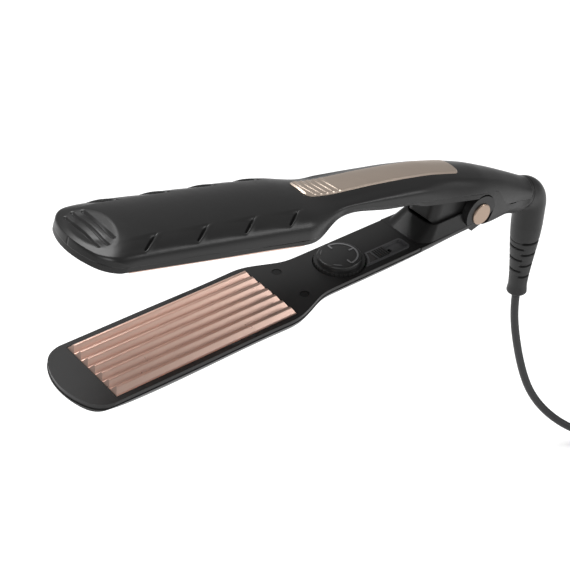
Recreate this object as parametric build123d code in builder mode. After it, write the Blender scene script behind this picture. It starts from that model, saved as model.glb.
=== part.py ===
from build123d import *
import os
from math import atan2, cos, degrees, pi, radians, sin, sqrt, tan

# Hair crimper: two long arms on one hinge, each with a ridged heating plate at its tip end.
# Lengths are millimetres and angles degrees. +X runs back along the lower arm to the cord,
# +Z is up, and the slide switch lies on the -Y side of the dial. The origin is the middle of
# the upper handle, where the hand holds it. The arms stand open, as the spring holds them.

os.makedirs("parts", exist_ok=True)

# Stance
OPEN_ANGLE = 15.9
GRIP_TO_HINGE = 54.0
GRIP_OVER_HINGE = 30.0

# Heating plates
PLATE_LENGTH = 96.3
PLATE_WIDTH = 40.0
PLATE_REAR = 120.9          # hinge axis to the rear end of the plates
RIDGE_COUNT = 7
RIDGE_FLANK = 55.0          # slope of a ridge's sides
RIDGE_ROUND = 1.0           # radius on the crests and in the valleys
PLATE_BASE = 1.6            # metal left under the valleys
PLATE_END_BEVEL = 1.6
CREST_BELOW_HINGE = 1.44    # hinge axis to the plane where the two sets of crests meet
MESH_GAP = 0.62             # left between the meshed ridges at the tips, measured upright
PLATE_FIT = 0.3             # gap all round a plate in its opening

# Arms in plan
TIP_LAND = 16.3             # flat land between the plate and the tip
TIP_BULGE = 3.5             # how far the front arc bows out
TIP_FRONT_HALF = 16.0       # half width of the front arc
TIP_CORNER = 13.0           # length of the rounded corner behind the front arc
PLATE_RIM = 3.5             # width of the rim beside the plate
HANDLE_HALF = 15.3
SHOULDER_FRONT = 124.5      # hinge axis to where the barrel starts to narrow
SHOULDER_REAR = 96.5        # hinge axis to where the handle starts
SHELL_WALL = 1.8
SEAM_FROM_FACE = 2.5
SEAM_STEP = 0.4             # the inner shell stands this far in from the outer shell's side
FACE_BELOW_CREST = 2.46

# Lower arm
BARREL_DEPTH = 14.5         # hinge level to the underside
GRIP_DEPTH = 12.1
TIP_DEPTH = 6.6
NOSE_LENGTH = 26.0          # length in which the tip reaches the barrel's full depth
UNDERSIDE_FLAT = 0.34       # flat share of the underside's width
LOWER_END = 2.0             # hinge axis to the end of the arm, not counting the ears
LOWER_REAR_TAPER = 45.0     # hinge axis to where the arm narrows to the ears
LEAST_HOLLOW = 0.8          # a hollow is never thinner than this in the tips
HOLLOW_END = 37.0           # hinge axis to the rear end of the arm's hollow
EAR_RADIUS = 9.7
EAR_INNER = 10.4            # half the gap between the ears
EAR_OUTER = 14.5
RIM_TOP = 2.3               # top of the raised rim round the knuckle, over the hinge axis
RIM_WALL = 0.9              # thickness of the rim at its top
RIM_FRONT = 39.5            # hinge axis to where the rim starts to rise from the inner face
RIM_FOOT_ROUND = 8.0
POCKET_GAP = 0.5            # round the knuckle with the arms closed
EAR_UNDER = 6.15            # the ears are trimmed this far under the hinge axis, by planes
EAR_TRIM_SLOPES = (16.5, 42.0)  # that rise to the rear
FACE_END = 40.0             # hinge axis to the rear end of the lower inner shell

# Upper arm
NECK_RADIUS = 8.6
NECK_RISE = 1.5             # the neck's axis over the hinge axis
NECK_END = 44.5
KNUCKLE_HALF = 9.6
KNUCKLE_FRONT = 29.0
KNUCKLE_CORNER = 5.0        # the knuckle's front corners, seen from above
BELLY_FRONT = 50.0          # hinge axis to where the underside starts to drop to the knuckle
BELLY_REAR = 20.0           # hinge axis to where it is down
UNDER_FRONT = 119.0         # hinge axis to where the inner face starts to rise to the handle
UNDER_REAR = 91.0
DECK_SHARE = 0.64           # share of the width that the crowned deck takes
HINGE_SIDE_GAP = 0.5        # between an ear's rim and the recess round it
HANDLE_UNDER = 8.6          # underside of the upper handle over the hinge axis
BELLY_DROP = 7.8            # the knuckle's underside under the hinge axis
DECK_DROP = 2.0             # fall of the crowned top from its middle to its shoulders
INLAY_HALF = 7.3
INLAY_FRONT = 116.0
INLAY_REAR = 17.0
INLAY_THICK = 1.2
INLAY_PROUD = 0.25

# Hinge
PIN_RADIUS = 2.5
PIN_RUNNING_FIT = 0.06
CAP_RADIUS = 5.65
CAP_PROUD = 0.95
CAP_RECESS = 1.5
WASHER_RADIUS = 5.0
WASHER_THICK = 0.5
SPRING_WIRE = 1.0
SPRING_MEAN_RADIUS = 4.0
SPRING_TURNS = 4
SPRING_PITCH = 1.5
SPRING_SLOT_HALF = 4.2
SPRING_LEG = 11.0
SPRING_REST = (-13.0, -8.0) # where the lower leg bears, along the arm
PIN_CHAMFER = 0.4
PIN_END_GAP = 0.3           # between the pin's ends and the caps
CAP_CHAMFER = 0.4
CAP_FIT = 0.1

# Heaters behind the plates
HEATER_LENGTH = 78.0
HEATER_WIDTH = 18.0
HEATER_THICK = 1.8
CLIP_SHEET = 0.5
CLIP_FOOT = 3.0
CARRIER_HALF = 18.0
CARRIER_WALL = 1.6
CARRIER_FLOOR = 1.1
CARRIER_DEPTH = 3.9         # plate's back to the outside of the carrier's floor
WIRE_RADIUS = 0.8
WIRE_HALF_GAP = 4.0
WIRE_LEVEL = 1.0            # plate's back to the middle of the leads at the heater
WIRE_NOTCH_GAP = 0.3
WIRE_BEND = 6.0
WIRE_END_GAP = 0.3          # between a lead's end and the piece that it runs to
SENSOR_RADIUS = 1.1
SENSOR_LENGTH = 9.0
BOSS_RADIUS = 2.6
SCREW_RADIUS = 1.2
SCREW_HEAD_RADIUS = 2.2
SCREW_HEAD_HEIGHT = 1.3
SCREW_BORE_DEPTH = 4.4      # under the surface that the screw's head stands in
SCREW_FIT = 0.1             # round a shank in the piece that its screw holds
PLATE_SCREW_LENGTH = 3.6
SEAT = 0.02                 # hair gap between pieces that touch in one body

# Controls in the lower handle
DIAL_FROM_HINGE = 79.5
DIAL_WELL_RADIUS = 13.0
DIAL_SKIRT_RADIUS = 12.5
DIAL_TOP_RADIUS = 10.8
DIAL_TOP_BELOW_HINGE = 0.0
DIAL_SKIRT_PROUD = 1.3
DIAL_SUNK = 1.3
DIAL_NOTCHES = 36
DIAL_NOTCH_RADIUS = 0.4
DIAL_EDGE_ROUND = 0.7
DIAL_MARK_RADIUS = 8.7
DIAL_MARK_WIDTH = 0.8
DIAL_MARK_PROUD = 0.35
DIAL_MARK_SPAN = 270.0
DIAL_TICK_LENGTH = 3.0
SHAFT_RADIUS = 2.0
POT_RADIUS = 7.0
POT_FIT = 0.1
SHAFT_FIT = 0.05            # round the shaft in the potentiometer
SHAFT_UNDER_TOP = 1.2       # metal end of the shaft under the dial's top
BOARD_THICK = 1.2
BOARD_WIDTH = 18.0
BOARD_FRONT = 93.0
BOARD_REAR = 44.0
BOARD_TOP_BELOW_HINGE = 7.8
BOARD_SCREW_GRIP = 0.6      # thread in the shell's boss
CHIPS = [                   # parts on the board: front, rear, near side, far side, height
    (-65.0, -57.0, 2.0, 7.0, 1.5), (-54.0, -49.0, 3.0, 8.0, 1.2)]
FLOOR_GAP = 0.3
WINDOW_FROM_WELL = 0.6      # strip of face left between the dial's well and the window
WINDOW_DIVIDER = 63.2       # hinge axis to the rib between the lamp and the switch
DIVIDER_WIDTH = 1.2
WINDOW_REAR = 43.6
WINDOW_WIDTH = 8.6
WINDOW_OFFSET = 7.0         # window's middle line to the handle's middle line
WINDOW_PROUD = 0.8
WINDOW_RIM = 1.0
WINDOW_CORNER = 2.0
WINDOW_FLANGE = 1.0         # depth of the frame under the handle's face
SLOT_FLOOR = 0.6            # floor under the slide knob
KNOB_LENGTH = 6.2
KNOB_TRAVEL = 5.0
KNOB_PROUD = 1.2
KNOB_GAP = 0.3
KNOB_GROOVES = 4
KNOB_GROOVE_PITCH = 1.4
KNOB_GROOVE = 0.6
KNOB_GROOVE_DEPTH = 0.45
LEVER_LENGTH = 2.0
LEVER_WIDTH = 1.8
LED_RADIUS = 1.2
LED_ROUND = 0.6
LED_FROM_DIVIDER = 1.6
LENS_SUNK = 0.2             # the lens under the frame's top, and the lamp under the lens
SWITCH_LENGTH = 11.0
SWITCH_WIDTH = 3.8
SWITCH_HEIGHT = 1.6
SWITCH_SLOT = 1.2
POT_OVER_BOARD = 1.4

# Face screws between the plate and the dial
FACE_SCREW_FROM_HINGE = 109.0
FACE_SCREW_HALF = 10.6
FACE_RECESS_RADIUS = 2.4
FACE_RECESS_DEPTH = 1.0
FACE_SCREW_HEAD = 0.7
FACE_SCREW_SHANK = 3.3

# Swivel elbow, boot and cord
COLLAR_LENGTH = 2.5
COLLAR_SPIGOT = 3.5
SPIGOT_RADIUS = 6.0
SWIVEL_RADIUS = 4.8
SWIVEL_FIT = 0.1
FLANGE_RADIUS = 5.7
FLANGE_THICK = 2.2
SWIVEL_GAP = 0.3
ELBOW_BEND = 10.2
ELBOW_STRAIGHT = 12.5
BOOT_LENGTH = 46.0
BOOT_END_RADIUS = 5.2
BOOT_END_FLARE = 0.5
BOOT_GAP = 0.1              # between the elbow and the boot
BOOT_GROOVES = 4
BOOT_FIRST_GROOVE = 9.0
BOOT_GROOVE_PITCH = 7.8
BOOT_GROOVE = 1.2
BOOT_GROOVE_DEPTH = 1.5
CLAMP_FROM_HINGE = 29.0
CLAMP_LENGTH = 6.5
CLAMP_WIDTH = 7.0
CLAMP_HEIGHT = 7.0
CORD_DIAMETER = 4.6
CORD_GAP = 0.35
CORD_HEADING = -37.9        # seen from above, the way the cord hangs away from the boot
CORD_HANG = [               # offset from the boot's axis along the heading, height over the hinge
    (0.0, -91.0), (3.0, -110.5), (9.6, -136.0), (17.75, -155.8), (31.1, -172.3), (48.7, -184.2)]
CORD_REACH = [(109.5, -41.0), (132.8, -46.8)]   # level points, along and across from the hinge
CORD_LEVEL = -190.4         # level stretch under the hinge
BEND_SHARE = 0.45           # share of the shorter leg that a bend of the cord takes
COIL_FROM_HINGE = 160.0     # hinge axis to the coil's middle
COIL_LAYERS = 4
TURNS_IN_LAYER = 2.5
COIL_TURNS = 9.75
COIL_RADIUS = 32.0
COIL_PITCH = 5.15
LAYER_PITCH = 5.05
TAIL_BEND = 14.0            # radius of the last bend, on top of the coil

# Plug
PLUG_WIDTH = 35.3
PLUG_THICK = 13.7
PLUG_CORNER = 4.0
PLUG_LENGTH = 36.0
PLUG_REST = 0.2             # left between the coil's top and the plug
PLUG_RELIEF = 12.0          # length of the cone round the cord
RELIEF_WALL = 0.9
RELIEF_END_RADIUS = 4.2
PLUG_FRONT = (12.0, 9.0)    # width and thickness where the cone ends
PLUG_SLOPES = [(10.0, 24.0), (26.0, PLUG_WIDTH)]    # distance from the cone, width
PIN_SPACING = 18.6
PLUG_PIN_RADIUS = 2.0
PLUG_PIN_LENGTH = 19.0
PIN_TIP = 1.2
PIN_TIP_TAPER = 35.0
PIN_ROOT_RADIUS = 1.4
PIN_ROOT = 6.0

HINGE = Vector(GRIP_TO_HINGE, 0, -GRIP_OVER_HINGE)
LEAN = radians(OPEN_ANGLE)
lower_arm = Plane(origin=HINGE, x_dir=(1, 0, 0), z_dir=(0, 0, 1))
upper_arm = Plane(origin=HINGE, x_dir=(cos(LEAN), 0, -sin(LEAN)), z_dir=(sin(LEAN), 0, cos(LEAN)))


def side_plane(arm, y=0.0):
    """Plane seen from the -Y side: sketch X runs along the arm and sketch Y is the arm's up."""
    return Plane(origin=arm.from_local_coords((0, y, 0)), x_dir=arm.x_dir, z_dir=-arm.y_dir)


def cross_plane(arm, x):
    """Plane across the arm at x: sketch X runs across and sketch Y is the arm's up."""
    return Plane(origin=arm.from_local_coords((x, 0, 0)), x_dir=arm.y_dir, z_dir=arm.x_dir)


def finish(part, name):
    """Writes a finished part to its own file."""
    part.label = name
    export_step(part, f"parts/{name}.step")


def ease(x, start, end):
    """Smooth step from 0 at start to 1 at end."""
    t = min(max((x - start) / (end - start), 0.0), 1.0)
    return t * t * (3 - 2 * t)


def along(stations, x):
    """Value at x on the straight runs between the (x, value) stations."""
    stations = sorted(stations)
    if x <= stations[0][0]:
        return stations[0][1]
    for (x0, v0), (x1, v1) in zip(stations, stations[1:]):
        if x <= x1:
            return v0 + (v1 - v0) * (x - x0) / (x1 - x0)
    return stations[-1][1]


# Sizes that follow from the ones above
RIDGE_PITCH = PLATE_WIDTH / RIDGE_COUNT
RIDGE_CUT = RIDGE_ROUND * (1 / cos(radians(RIDGE_FLANK)) - 1)
RIDGE_HEIGHT = RIDGE_PITCH / 2 * tan(radians(RIDGE_FLANK)) - 2 * RIDGE_CUT
PLATE_BACK = RIDGE_HEIGHT + PLATE_BASE
TOE_ANGLE = degrees(atan2(RIDGE_HEIGHT - MESH_GAP, PLATE_LENGTH))
BARREL_HALF = PLATE_WIDTH / 2 + PLATE_RIM
ARM_REACH = PLATE_REAR + PLATE_LENGTH + TIP_LAND
FACE = -CREST_BELOW_HINGE - FACE_BELOW_CREST
SEAM = FACE - SEAM_FROM_FACE


def arm_half_width(x):
    narrowing = ease(x, -SHOULDER_FRONT, -SHOULDER_REAR)
    return BARREL_HALF + (HANDLE_HALF - BARREL_HALF) * narrowing


def plan_outline(inset):
    """The arm seen from above: the rounded tip, then straight on past the hinge."""
    apex = -ARM_REACH + inset
    front = apex + TIP_BULGE
    half = BARREL_HALF - inset
    corner_end = front + TIP_CORNER - inset
    front_half = TIP_FRONT_HALF - inset / 2
    knee = (front + 0.35 * (corner_end - front), front_half + 0.72 * (half - front_half))
    wide = half + SEAM_STEP
    with BuildSketch(Plane.XY) as outline:
        with BuildLine():
            ThreePointArc((front, front_half), (apex, 0), (front, -front_half))
            ThreePointArc((front, front_half), knee, (corner_end, half))
            ThreePointArc((front, -front_half), (knee[0], -knee[1]), (corner_end, -half))
            Polyline((corner_end, half), (corner_end, wide), (NECK_END + 20, wide),
                     (NECK_END + 20, -wide), (corner_end, -wide), (corner_end, -half))
        make_face()
    return outline.sketch


def arm_blank_in_plan(solid, arm, inset):
    """Trim a lofted arm to the plan outline, which rounds the tip."""
    with BuildPart() as trimmed:
        add(solid)
        with BuildSketch(arm.offset(-60)):
            add(plan_outline(inset))
        extrude(amount=120, mode=Mode.INTERSECT)
    return trimmed.part


def block(arm, low, high):
    """Box between two corners, each given along the arm, across it and up."""
    with BuildPart() as box:
        with BuildSketch(arm.offset(low[2])):
            with Locations(((low[0] + high[0]) / 2, (low[1] + high[1]) / 2)):
                Rectangle(high[0] - low[0], high[1] - low[1])
        extrude(amount=high[2] - low[2])
    return box.part


def post(arm, place, radius, low, high):
    """Upright round post at (along, across), from low to high over the hinge level."""
    with BuildPart() as upright:
        with BuildSketch(arm.offset(low)):
            with Locations(place):
                Circle(radius)
        extrude(amount=high - low)
    return upright.part


def rod(arm, radius, start, end, along_arm=0.0, up=0.0):
    """Round rod across the arm from y = start to y = end."""
    with BuildPart() as across:
        with BuildSketch(side_plane(arm, end)):
            with Locations((along_arm, up)):
                Circle(radius)
        extrude(amount=end - start)
    return across.part


# Lower arm: a shallow tray section, flat on the inner face and round underneath
def lower_half_width(x):
    return arm_half_width(x) - (HANDLE_HALF - EAR_OUTER) * ease(x, -LOWER_REAR_TAPER, -LOWER_END)


def lower_depth(x):
    nose = sin(pi / 2 * min(max((x + ARM_REACH) / NOSE_LENGTH, 0.0), 1.0))
    depth = TIP_DEPTH + (BARREL_DEPTH - TIP_DEPTH) * nose
    depth -= (BARREL_DEPTH - GRIP_DEPTH) * ease(x, -SHOULDER_FRONT, -SHOULDER_REAR)
    return depth - (GRIP_DEPTH - EAR_RADIUS) * ease(x, -DIAL_FROM_HINGE + DIAL_WELL_RADIUS, -LOWER_END)


def loft_places(rear):
    """Stations of the lofted sections, close together where the outline turns."""
    shoulder = SHOULDER_FRONT - SHOULDER_REAR
    places = [-ARM_REACH - 3, -ARM_REACH + 3, -ARM_REACH + 9, -ARM_REACH + 16, -ARM_REACH + NOSE_LENGTH]
    places += [-(SHOULDER_FRONT + ARM_REACH - NOSE_LENGTH) / 2, -SHOULDER_FRONT - 6]
    places += [-SHOULDER_FRONT + shoulder * share for share in (0.1, 0.35, 0.6, 0.85, 1.1)]
    return places + rear


def lower_blank(inset, face_inset):
    with BuildPart() as tray:
        for x in loft_places([-78, -62, -50, -38, -26, -14, -LOWER_END]):
            half = lower_half_width(x) - inset
            top = FACE - face_inset
            side = top - 0.3
            bottom = min(-lower_depth(x) + inset, side - LEAST_HOLLOW)
            flat = half * UNDERSIDE_FLAT
            out = 0.55 * (half - flat)
            up = 0.45 * (side - bottom)
            with BuildSketch(cross_plane(lower_arm, x)):
                with BuildLine():
                    Line((-flat, bottom), (flat, bottom))
                    Bezier((flat, bottom), (flat + out, bottom), (half, bottom + up), (half, side))
                    Polyline((half, side), (half, top), (-half, top), (-half, side))
                    Bezier((-half, side), (-half, bottom + up), (-flat - out, bottom), (-flat, bottom))
                make_face()
        loft()
    return arm_blank_in_plan(tray.part, lower_arm, inset)


# Upper arm: a crowned section that thins to the handle and ends in a round neck
TOP_LINE = [                # crown of the upper arm: distance ahead of the hinge, height
    (ARM_REACH + 3, 3.4), (ARM_REACH - 3, 6.4), (ARM_REACH - 9, 9.9), (ARM_REACH - 16, 11.7),
    (ARM_REACH - 26, 12.7), (172, 14.6), (140, 16.2), (125, 16.5), (113, 16.2), (104, 16.5),
    (94, 17.6), (78, 19.4), (56, 21.2), (38, 22.0), (20, 21.4), (0, 19.6), (-17, 16.6),
    (-33, 13.0), (-NECK_END, NECK_RISE + NECK_RADIUS)]
TOE_SLOPE = tan(radians(TOE_ANGLE))
UPPER_FACE = -CREST_BELOW_HINGE + FACE_BELOW_CREST


def upper_crown(x):
    return along([(-ahead, height) for ahead, height in TOP_LINE], x)


def handle_underside(x):
    """Underside without the knuckle: the tilted inner face, then up to the handle."""
    face = UPPER_FACE + min(x + PLATE_REAR, 0.0) * TOE_SLOPE
    return face + (HANDLE_UNDER - face) * ease(x, -UNDER_FRONT, -UNDER_REAR)


def belly(x):
    """Underside on the middle line, with the knuckle that hangs down to the hinge."""
    high = handle_underside(x)
    low = high - (high + BELLY_DROP) * ease(x, -BELLY_FRONT, -BELLY_REAR)
    return low + (NECK_RISE - NECK_RADIUS + BELLY_DROP) * ease(x, 0, NECK_END)


def upper_half_width(x):
    return arm_half_width(x) - (HANDLE_HALF - NECK_RADIUS) * ease(x, -12, NECK_END + 4)


def upper_blank(inset, face_inset):
    with BuildPart() as crowned:
        for x in loft_places([-78, -62, -50, -42, -34, -26, -18, -8, 4, 17, 31, NECK_END]):
            half = upper_half_width(x) - inset
            bottom = belly(x) + face_inset
            crown = max(upper_crown(x) - inset, bottom + DECK_DROP + LEAST_HOLLOW)
            corner = 0.6 + 1.9 * ease(x, -SHOULDER_FRONT, -SHOULDER_REAR) + 4.3 * ease(x, 0, NECK_END)
            corner = max(corner - inset, 0.4)
            side = bottom + corner + (0.3 + 0.1 * ease(x, 0, NECK_END)) * (crown - bottom - corner)
            deck_half = half * DECK_SHARE
            deck = crown - DECK_DROP * half / upper_half_width(x)
            slope = 2 * (crown - deck) * deck_half / (deck_half ** 2 - (crown - deck) ** 2)
            reach = 0.5 * (half - deck_half)
            with BuildSketch(cross_plane(upper_arm, x)):
                with BuildLine():
                    Line((corner - half, bottom), (half - corner, bottom))
                    for turn in (1, -1):
                        Bezier((turn * (half - corner), bottom), (turn * (half - 0.45 * corner), bottom),
                               (turn * half, bottom + 0.45 * corner), (turn * half, bottom + corner))
                        Line((turn * half, bottom + corner), (turn * half, side))
                        Bezier((turn * half, side), (turn * half, side + 0.6 * (deck - side)),
                               (turn * (deck_half + reach), deck - slope * reach), (turn * deck_half, deck))
                    ThreePointArc((deck_half, deck), (0, crown), (-deck_half, deck))
                make_face()
        loft()
    return arm_blank_in_plan(crowned.part, upper_arm, inset)


def upper_below_seam():
    """Everything under the seam between the upper arm's two shells."""
    def seam(x):
        front = handle_underside(x) + SEAM_FROM_FACE
        return front + (NECK_RISE - front) * ease(x, 8, 24)
    places = [-200, -160, -PLATE_REAR, -112, -105, -98, -UNDER_REAR, -70, -40, -15, 0, 8]
    places += [12, 16, 20, 24, 34, NECK_END + 5]
    with BuildPart() as below:
        with BuildSketch(side_plane(upper_arm)):
            with BuildLine():
                Polyline([(-ARM_REACH - 9, seam(-ARM_REACH - 9)), (-200, seam(-200))])
                Spline([(x, seam(x)) for x in places])
                Polyline((NECK_END + 5, NECK_RISE), (NECK_END + 5, -40), (-ARM_REACH - 9, -40),
                         (-ARM_REACH - 9, seam(-ARM_REACH - 9)))
            make_face()
        extrude(amount=40, both=True)
    return below.part


def knuckle_outline(front, half):
    """Plan of the knuckle: straight sides and rounded front corners; it runs on past the hinge."""
    length = front + 2 * EAR_RADIUS
    with BuildSketch(Plane.XY) as outline:
        with Locations((length / 2 - front, 0)):
            RectangleRounded(length, 2 * half, KNUCKLE_CORNER)
    return outline.sketch


def bosses(arm, places, top, outside):
    """Screw bosses that stand on a shell's wall and end at the height top."""
    with BuildPart() as stand:
        for place in places:
            add(post(arm, place, BOSS_RADIUS, -60, top))
        add(outside, mode=Mode.INTERSECT)
    return stand.part


# Planes of the two plates: origin at the rear end of the crests, +Z out of the ridges
lower_plate_plane = Plane(
    origin=lower_arm.from_local_coords((-PLATE_REAR, 0, -CREST_BELOW_HINGE)),
    x_dir=lower_arm.x_dir, z_dir=lower_arm.z_dir)
toe = radians(TOE_ANGLE)
upper_plate_plane = Plane(
    origin=upper_arm.from_local_coords((-PLATE_REAR, 0, -CREST_BELOW_HINGE)),
    x_dir=upper_arm.x_dir * cos(toe) + upper_arm.z_dir * sin(toe),
    z_dir=upper_arm.x_dir * sin(toe) - upper_arm.z_dir * cos(toe))


def plate_opening(plane):
    """Opening for a plate through the inner shell, with the fit all round."""
    return block(plane, (-PLATE_LENGTH - PLATE_FIT, -PLATE_WIDTH / 2 - PLATE_FIT, -20),
                 (PLATE_FIT, PLATE_WIDTH / 2 + PLATE_FIT, 20))


# Plates: ridges run along the arm; the two plates are half a pitch apart so that they mesh
def ridged_plate(plane, crest_offset):
    """A plate whose crests stand at crest_offset plus whole pitches."""
    half = PLATE_WIDTH / 2
    sharp = RIDGE_PITCH / 2 * tan(radians(RIDGE_FLANK))
    steps = range(-RIDGE_COUNT - 2, RIDGE_COUNT + 3)
    zigzag = [(crest_offset + step * RIDGE_PITCH / 2, RIDGE_CUT - sharp * (step % 2)) for step in steps]
    with BuildPart() as plate:
        with BuildSketch(Plane(origin=plane.origin, x_dir=plane.y_dir, z_dir=plane.x_dir)) as section:
            with BuildLine():
                FilletPolyline(*zigzag, radius=RIDGE_ROUND)
                Polyline(zigzag[-1], (zigzag[-1][0], -PLATE_BACK), (zigzag[0][0], -PLATE_BACK), zigzag[0])
            make_face()
            with Locations((0, -PLATE_BACK / 2)):
                Rectangle(2 * half, 2 * PLATE_BACK, mode=Mode.INTERSECT)
        extrude(amount=-PLATE_LENGTH)
        with BuildSketch(side_plane(plane, 0)):
            for end, inward in ((0, -1), (-PLATE_LENGTH, 1)):
                with BuildLine():
                    Polyline((end, -RIDGE_HEIGHT - 0.2), (end + inward * PLATE_END_BEVEL, 0),
                             (end + inward * PLATE_END_BEVEL, 1), (end - inward, 1),
                             (end - inward, -RIDGE_HEIGHT - 0.2), close=True)
                make_face()
        extrude(amount=PLATE_WIDTH, both=True, mode=Mode.SUBTRACT)
    return plate.part


finish(ridged_plate(lower_plate_plane, 0.0), "lower_plate")
finish(ridged_plate(upper_plate_plane, RIDGE_PITCH / 2), "upper_plate")


# Heater, spring clip, sensor and carrier behind each plate, in the plate's own frame
HEATER_BACK = -PLATE_BACK - HEATER_THICK
CARRIER_BACK = -PLATE_BACK - CARRIER_DEPTH
carrier_screw_places = [(-PLATE_LENGTH + 6, 0), (-6, 0)]


def heater(plane):
    with BuildPart() as ceramic:
        with BuildSketch(plane.offset(-PLATE_BACK)):
            with Locations((-PLATE_LENGTH / 2, 0)):
                RectangleRounded(HEATER_LENGTH, HEATER_WIDTH, 1.5)
        extrude(amount=-HEATER_THICK)
    return ceramic.part


def heater_clip(plane):
    """Sheet spring under the heater, with a foot at each end that bears on the carrier."""
    foot_height = CARRIER_DEPTH - CARRIER_FLOOR - HEATER_THICK - CLIP_SHEET
    with BuildPart() as clip:
        with BuildSketch(plane.offset(HEATER_BACK)):
            with Locations((-PLATE_LENGTH / 2, 0)):
                RectangleRounded(HEATER_LENGTH - 6, HEATER_WIDTH - 6, 1)
        extrude(amount=-CLIP_SHEET)
        with BuildSketch(plane.offset(HEATER_BACK - CLIP_SHEET)):
            with Locations((-PLATE_LENGTH / 2, 0)):
                with GridLocations((HEATER_LENGTH - 6) / 3, 1, 4, 1):
                    Rectangle(CLIP_FOOT, HEATER_WIDTH - 8)
        extrude(amount=-foot_height)
    return clip.part


def plate_carrier(plane):
    """Tray that holds the plate by its back and leaves room for the heater."""
    length = PLATE_LENGTH - 2 * PLATE_FIT
    with BuildPart() as tray:
        with BuildSketch(plane.offset(-PLATE_BACK)):
            with Locations((-PLATE_LENGTH / 2, 0)):
                Rectangle(length, 2 * CARRIER_HALF)
        extrude(amount=-CARRIER_DEPTH)
        with BuildSketch(plane.offset(-PLATE_BACK)):
            with Locations((-PLATE_LENGTH / 2, 0)):
                Rectangle(length - 2 * CARRIER_WALL, 2 * (CARRIER_HALF - CARRIER_WALL))
        extrude(amount=CARRIER_FLOOR - CARRIER_DEPTH, mode=Mode.SUBTRACT)
        for place in carrier_screw_places:
            add(post(plane, place, SCREW_RADIUS + SCREW_FIT, -30, 0), mode=Mode.SUBTRACT)
        notch = WIRE_RADIUS + WIRE_NOTCH_GAP
        for side in (1, -1):
            add(block(plane, (-CARRIER_WALL - 1, side * WIRE_HALF_GAP - notch, CARRIER_BACK + CARRIER_FLOOR),
                      (1, side * WIRE_HALF_GAP + notch, 0)), mode=Mode.SUBTRACT)
    return tray.part


def heat_sensor(plane):
    """Small glass bead sensor lying against the plate's back beside the heater."""
    across = HEATER_WIDTH / 2 + SENSOR_RADIUS + 1.2
    middle = plane.from_local_coords((-PLATE_LENGTH / 2, across, -PLATE_BACK - SENSOR_RADIUS))
    axis_plane = Plane(origin=middle, x_dir=plane.y_dir, z_dir=plane.x_dir)
    with BuildPart() as bead:
        with BuildSketch(axis_plane):
            Circle(SENSOR_RADIUS)
        extrude(amount=SENSOR_LENGTH)
        with BuildSketch(axis_plane):
            Circle(SENSOR_RADIUS / 2)
        extrude(amount=-SENSOR_LENGTH / 2)
    return bead.part


def carrier_screws(plane):
    """Self-tapping screws through the carrier's floor into the shell's bosses."""
    with BuildPart() as screws:
        for place in carrier_screw_places:
            floor_top = CARRIER_BACK + CARRIER_FLOOR
            add(post(plane, place, SCREW_HEAD_RADIUS, floor_top, floor_top + SCREW_HEAD_HEIGHT))
            add(post(plane, place, SCREW_RADIUS, floor_top - PLATE_SCREW_LENGTH, floor_top))
    return screws.part


for plane, arm_name in ((lower_plate_plane, "lower"), (upper_plate_plane, "upper")):
    finish(heater(plane), f"{arm_name}_heater")
    finish(heater_clip(plane), f"{arm_name}_heater_clip")
    finish(plate_carrier(plane), f"{arm_name}_plate_carrier")
    finish(carrier_screws(plane), f"{arm_name}_plate_screws")
finish(heat_sensor(lower_plate_plane), "temperature_sensor")
finish(heat_sensor(upper_plate_plane), "thermal_fuse")


def carrier_bosses(plane, outside):
    """Bosses between a shell's wall and the carrier's floor, drilled for the screws."""
    drill_depth = PLATE_SCREW_LENGTH - CARRIER_FLOOR + 0.4
    with BuildPart() as stand:
        for place in carrier_screw_places:
            add(post(plane, place, BOSS_RADIUS, -40, CARRIER_BACK - SEAT))
        add(outside, mode=Mode.INTERSECT)
        for place in carrier_screw_places:
            add(post(plane, place, SCREW_RADIUS, CARRIER_BACK - drill_depth, 0), mode=Mode.SUBTRACT)
    return stand.part


# Lower arm's shells
face_screw_places = [(-FACE_SCREW_FROM_HINGE, side * FACE_SCREW_HALF) for side in (1, -1)]
board_screw_places = [(-BOARD_FRONT + 3, 0), (-BOARD_REAR - 3, 0)]
BOARD_TOP = -BOARD_TOP_BELOW_HINGE
BOARD_UNDER = BOARD_TOP - BOARD_THICK

lower_outside = lower_blank(0, 0)
lower_hollow = lower_blank(SHELL_WALL, SHELL_WALL)
lower_core = lower_blank(SHELL_WALL / 2, 0)
above_seam = block(lower_arm, (-ARM_REACH - 9, -60, SEAM), (-FACE_END, 60, 30))
with BuildPart() as lower_room:
    add(lower_hollow)
    add(block(lower_arm, (-HOLLOW_END, -60, -60), (60, 60, 60)), mode=Mode.SUBTRACT)


def belly_pocket():
    """Room between the ears for the upper arm's knuckle, over the whole travel."""
    step = (BELLY_FRONT - BELLY_REAR) / 6
    places = [-BELLY_FRONT + step * number for number in range(7)] + [-10, -4, 2]
    with BuildPart() as pocket:
        with BuildSketch(side_plane(lower_arm)):
            with BuildLine():
                Spline([(x, belly(x) - POCKET_GAP) for x in places])
                Polyline((2, belly(2) - POCKET_GAP), (EAR_RADIUS + 1, belly(2) - POCKET_GAP),
                         (EAR_RADIUS + 1, 30), (-BELLY_FRONT, 30),
                         (-BELLY_FRONT, belly(-BELLY_FRONT) - POCKET_GAP))
            make_face()
        extrude(amount=EAR_INNER, both=True)
        with BuildSketch(lower_arm.offset(-30)):
            add(knuckle_outline(KNUCKLE_FRONT + POCKET_GAP, EAR_INNER))
        extrude(amount=60, mode=Mode.INTERSECT)
    return pocket.part


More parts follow.
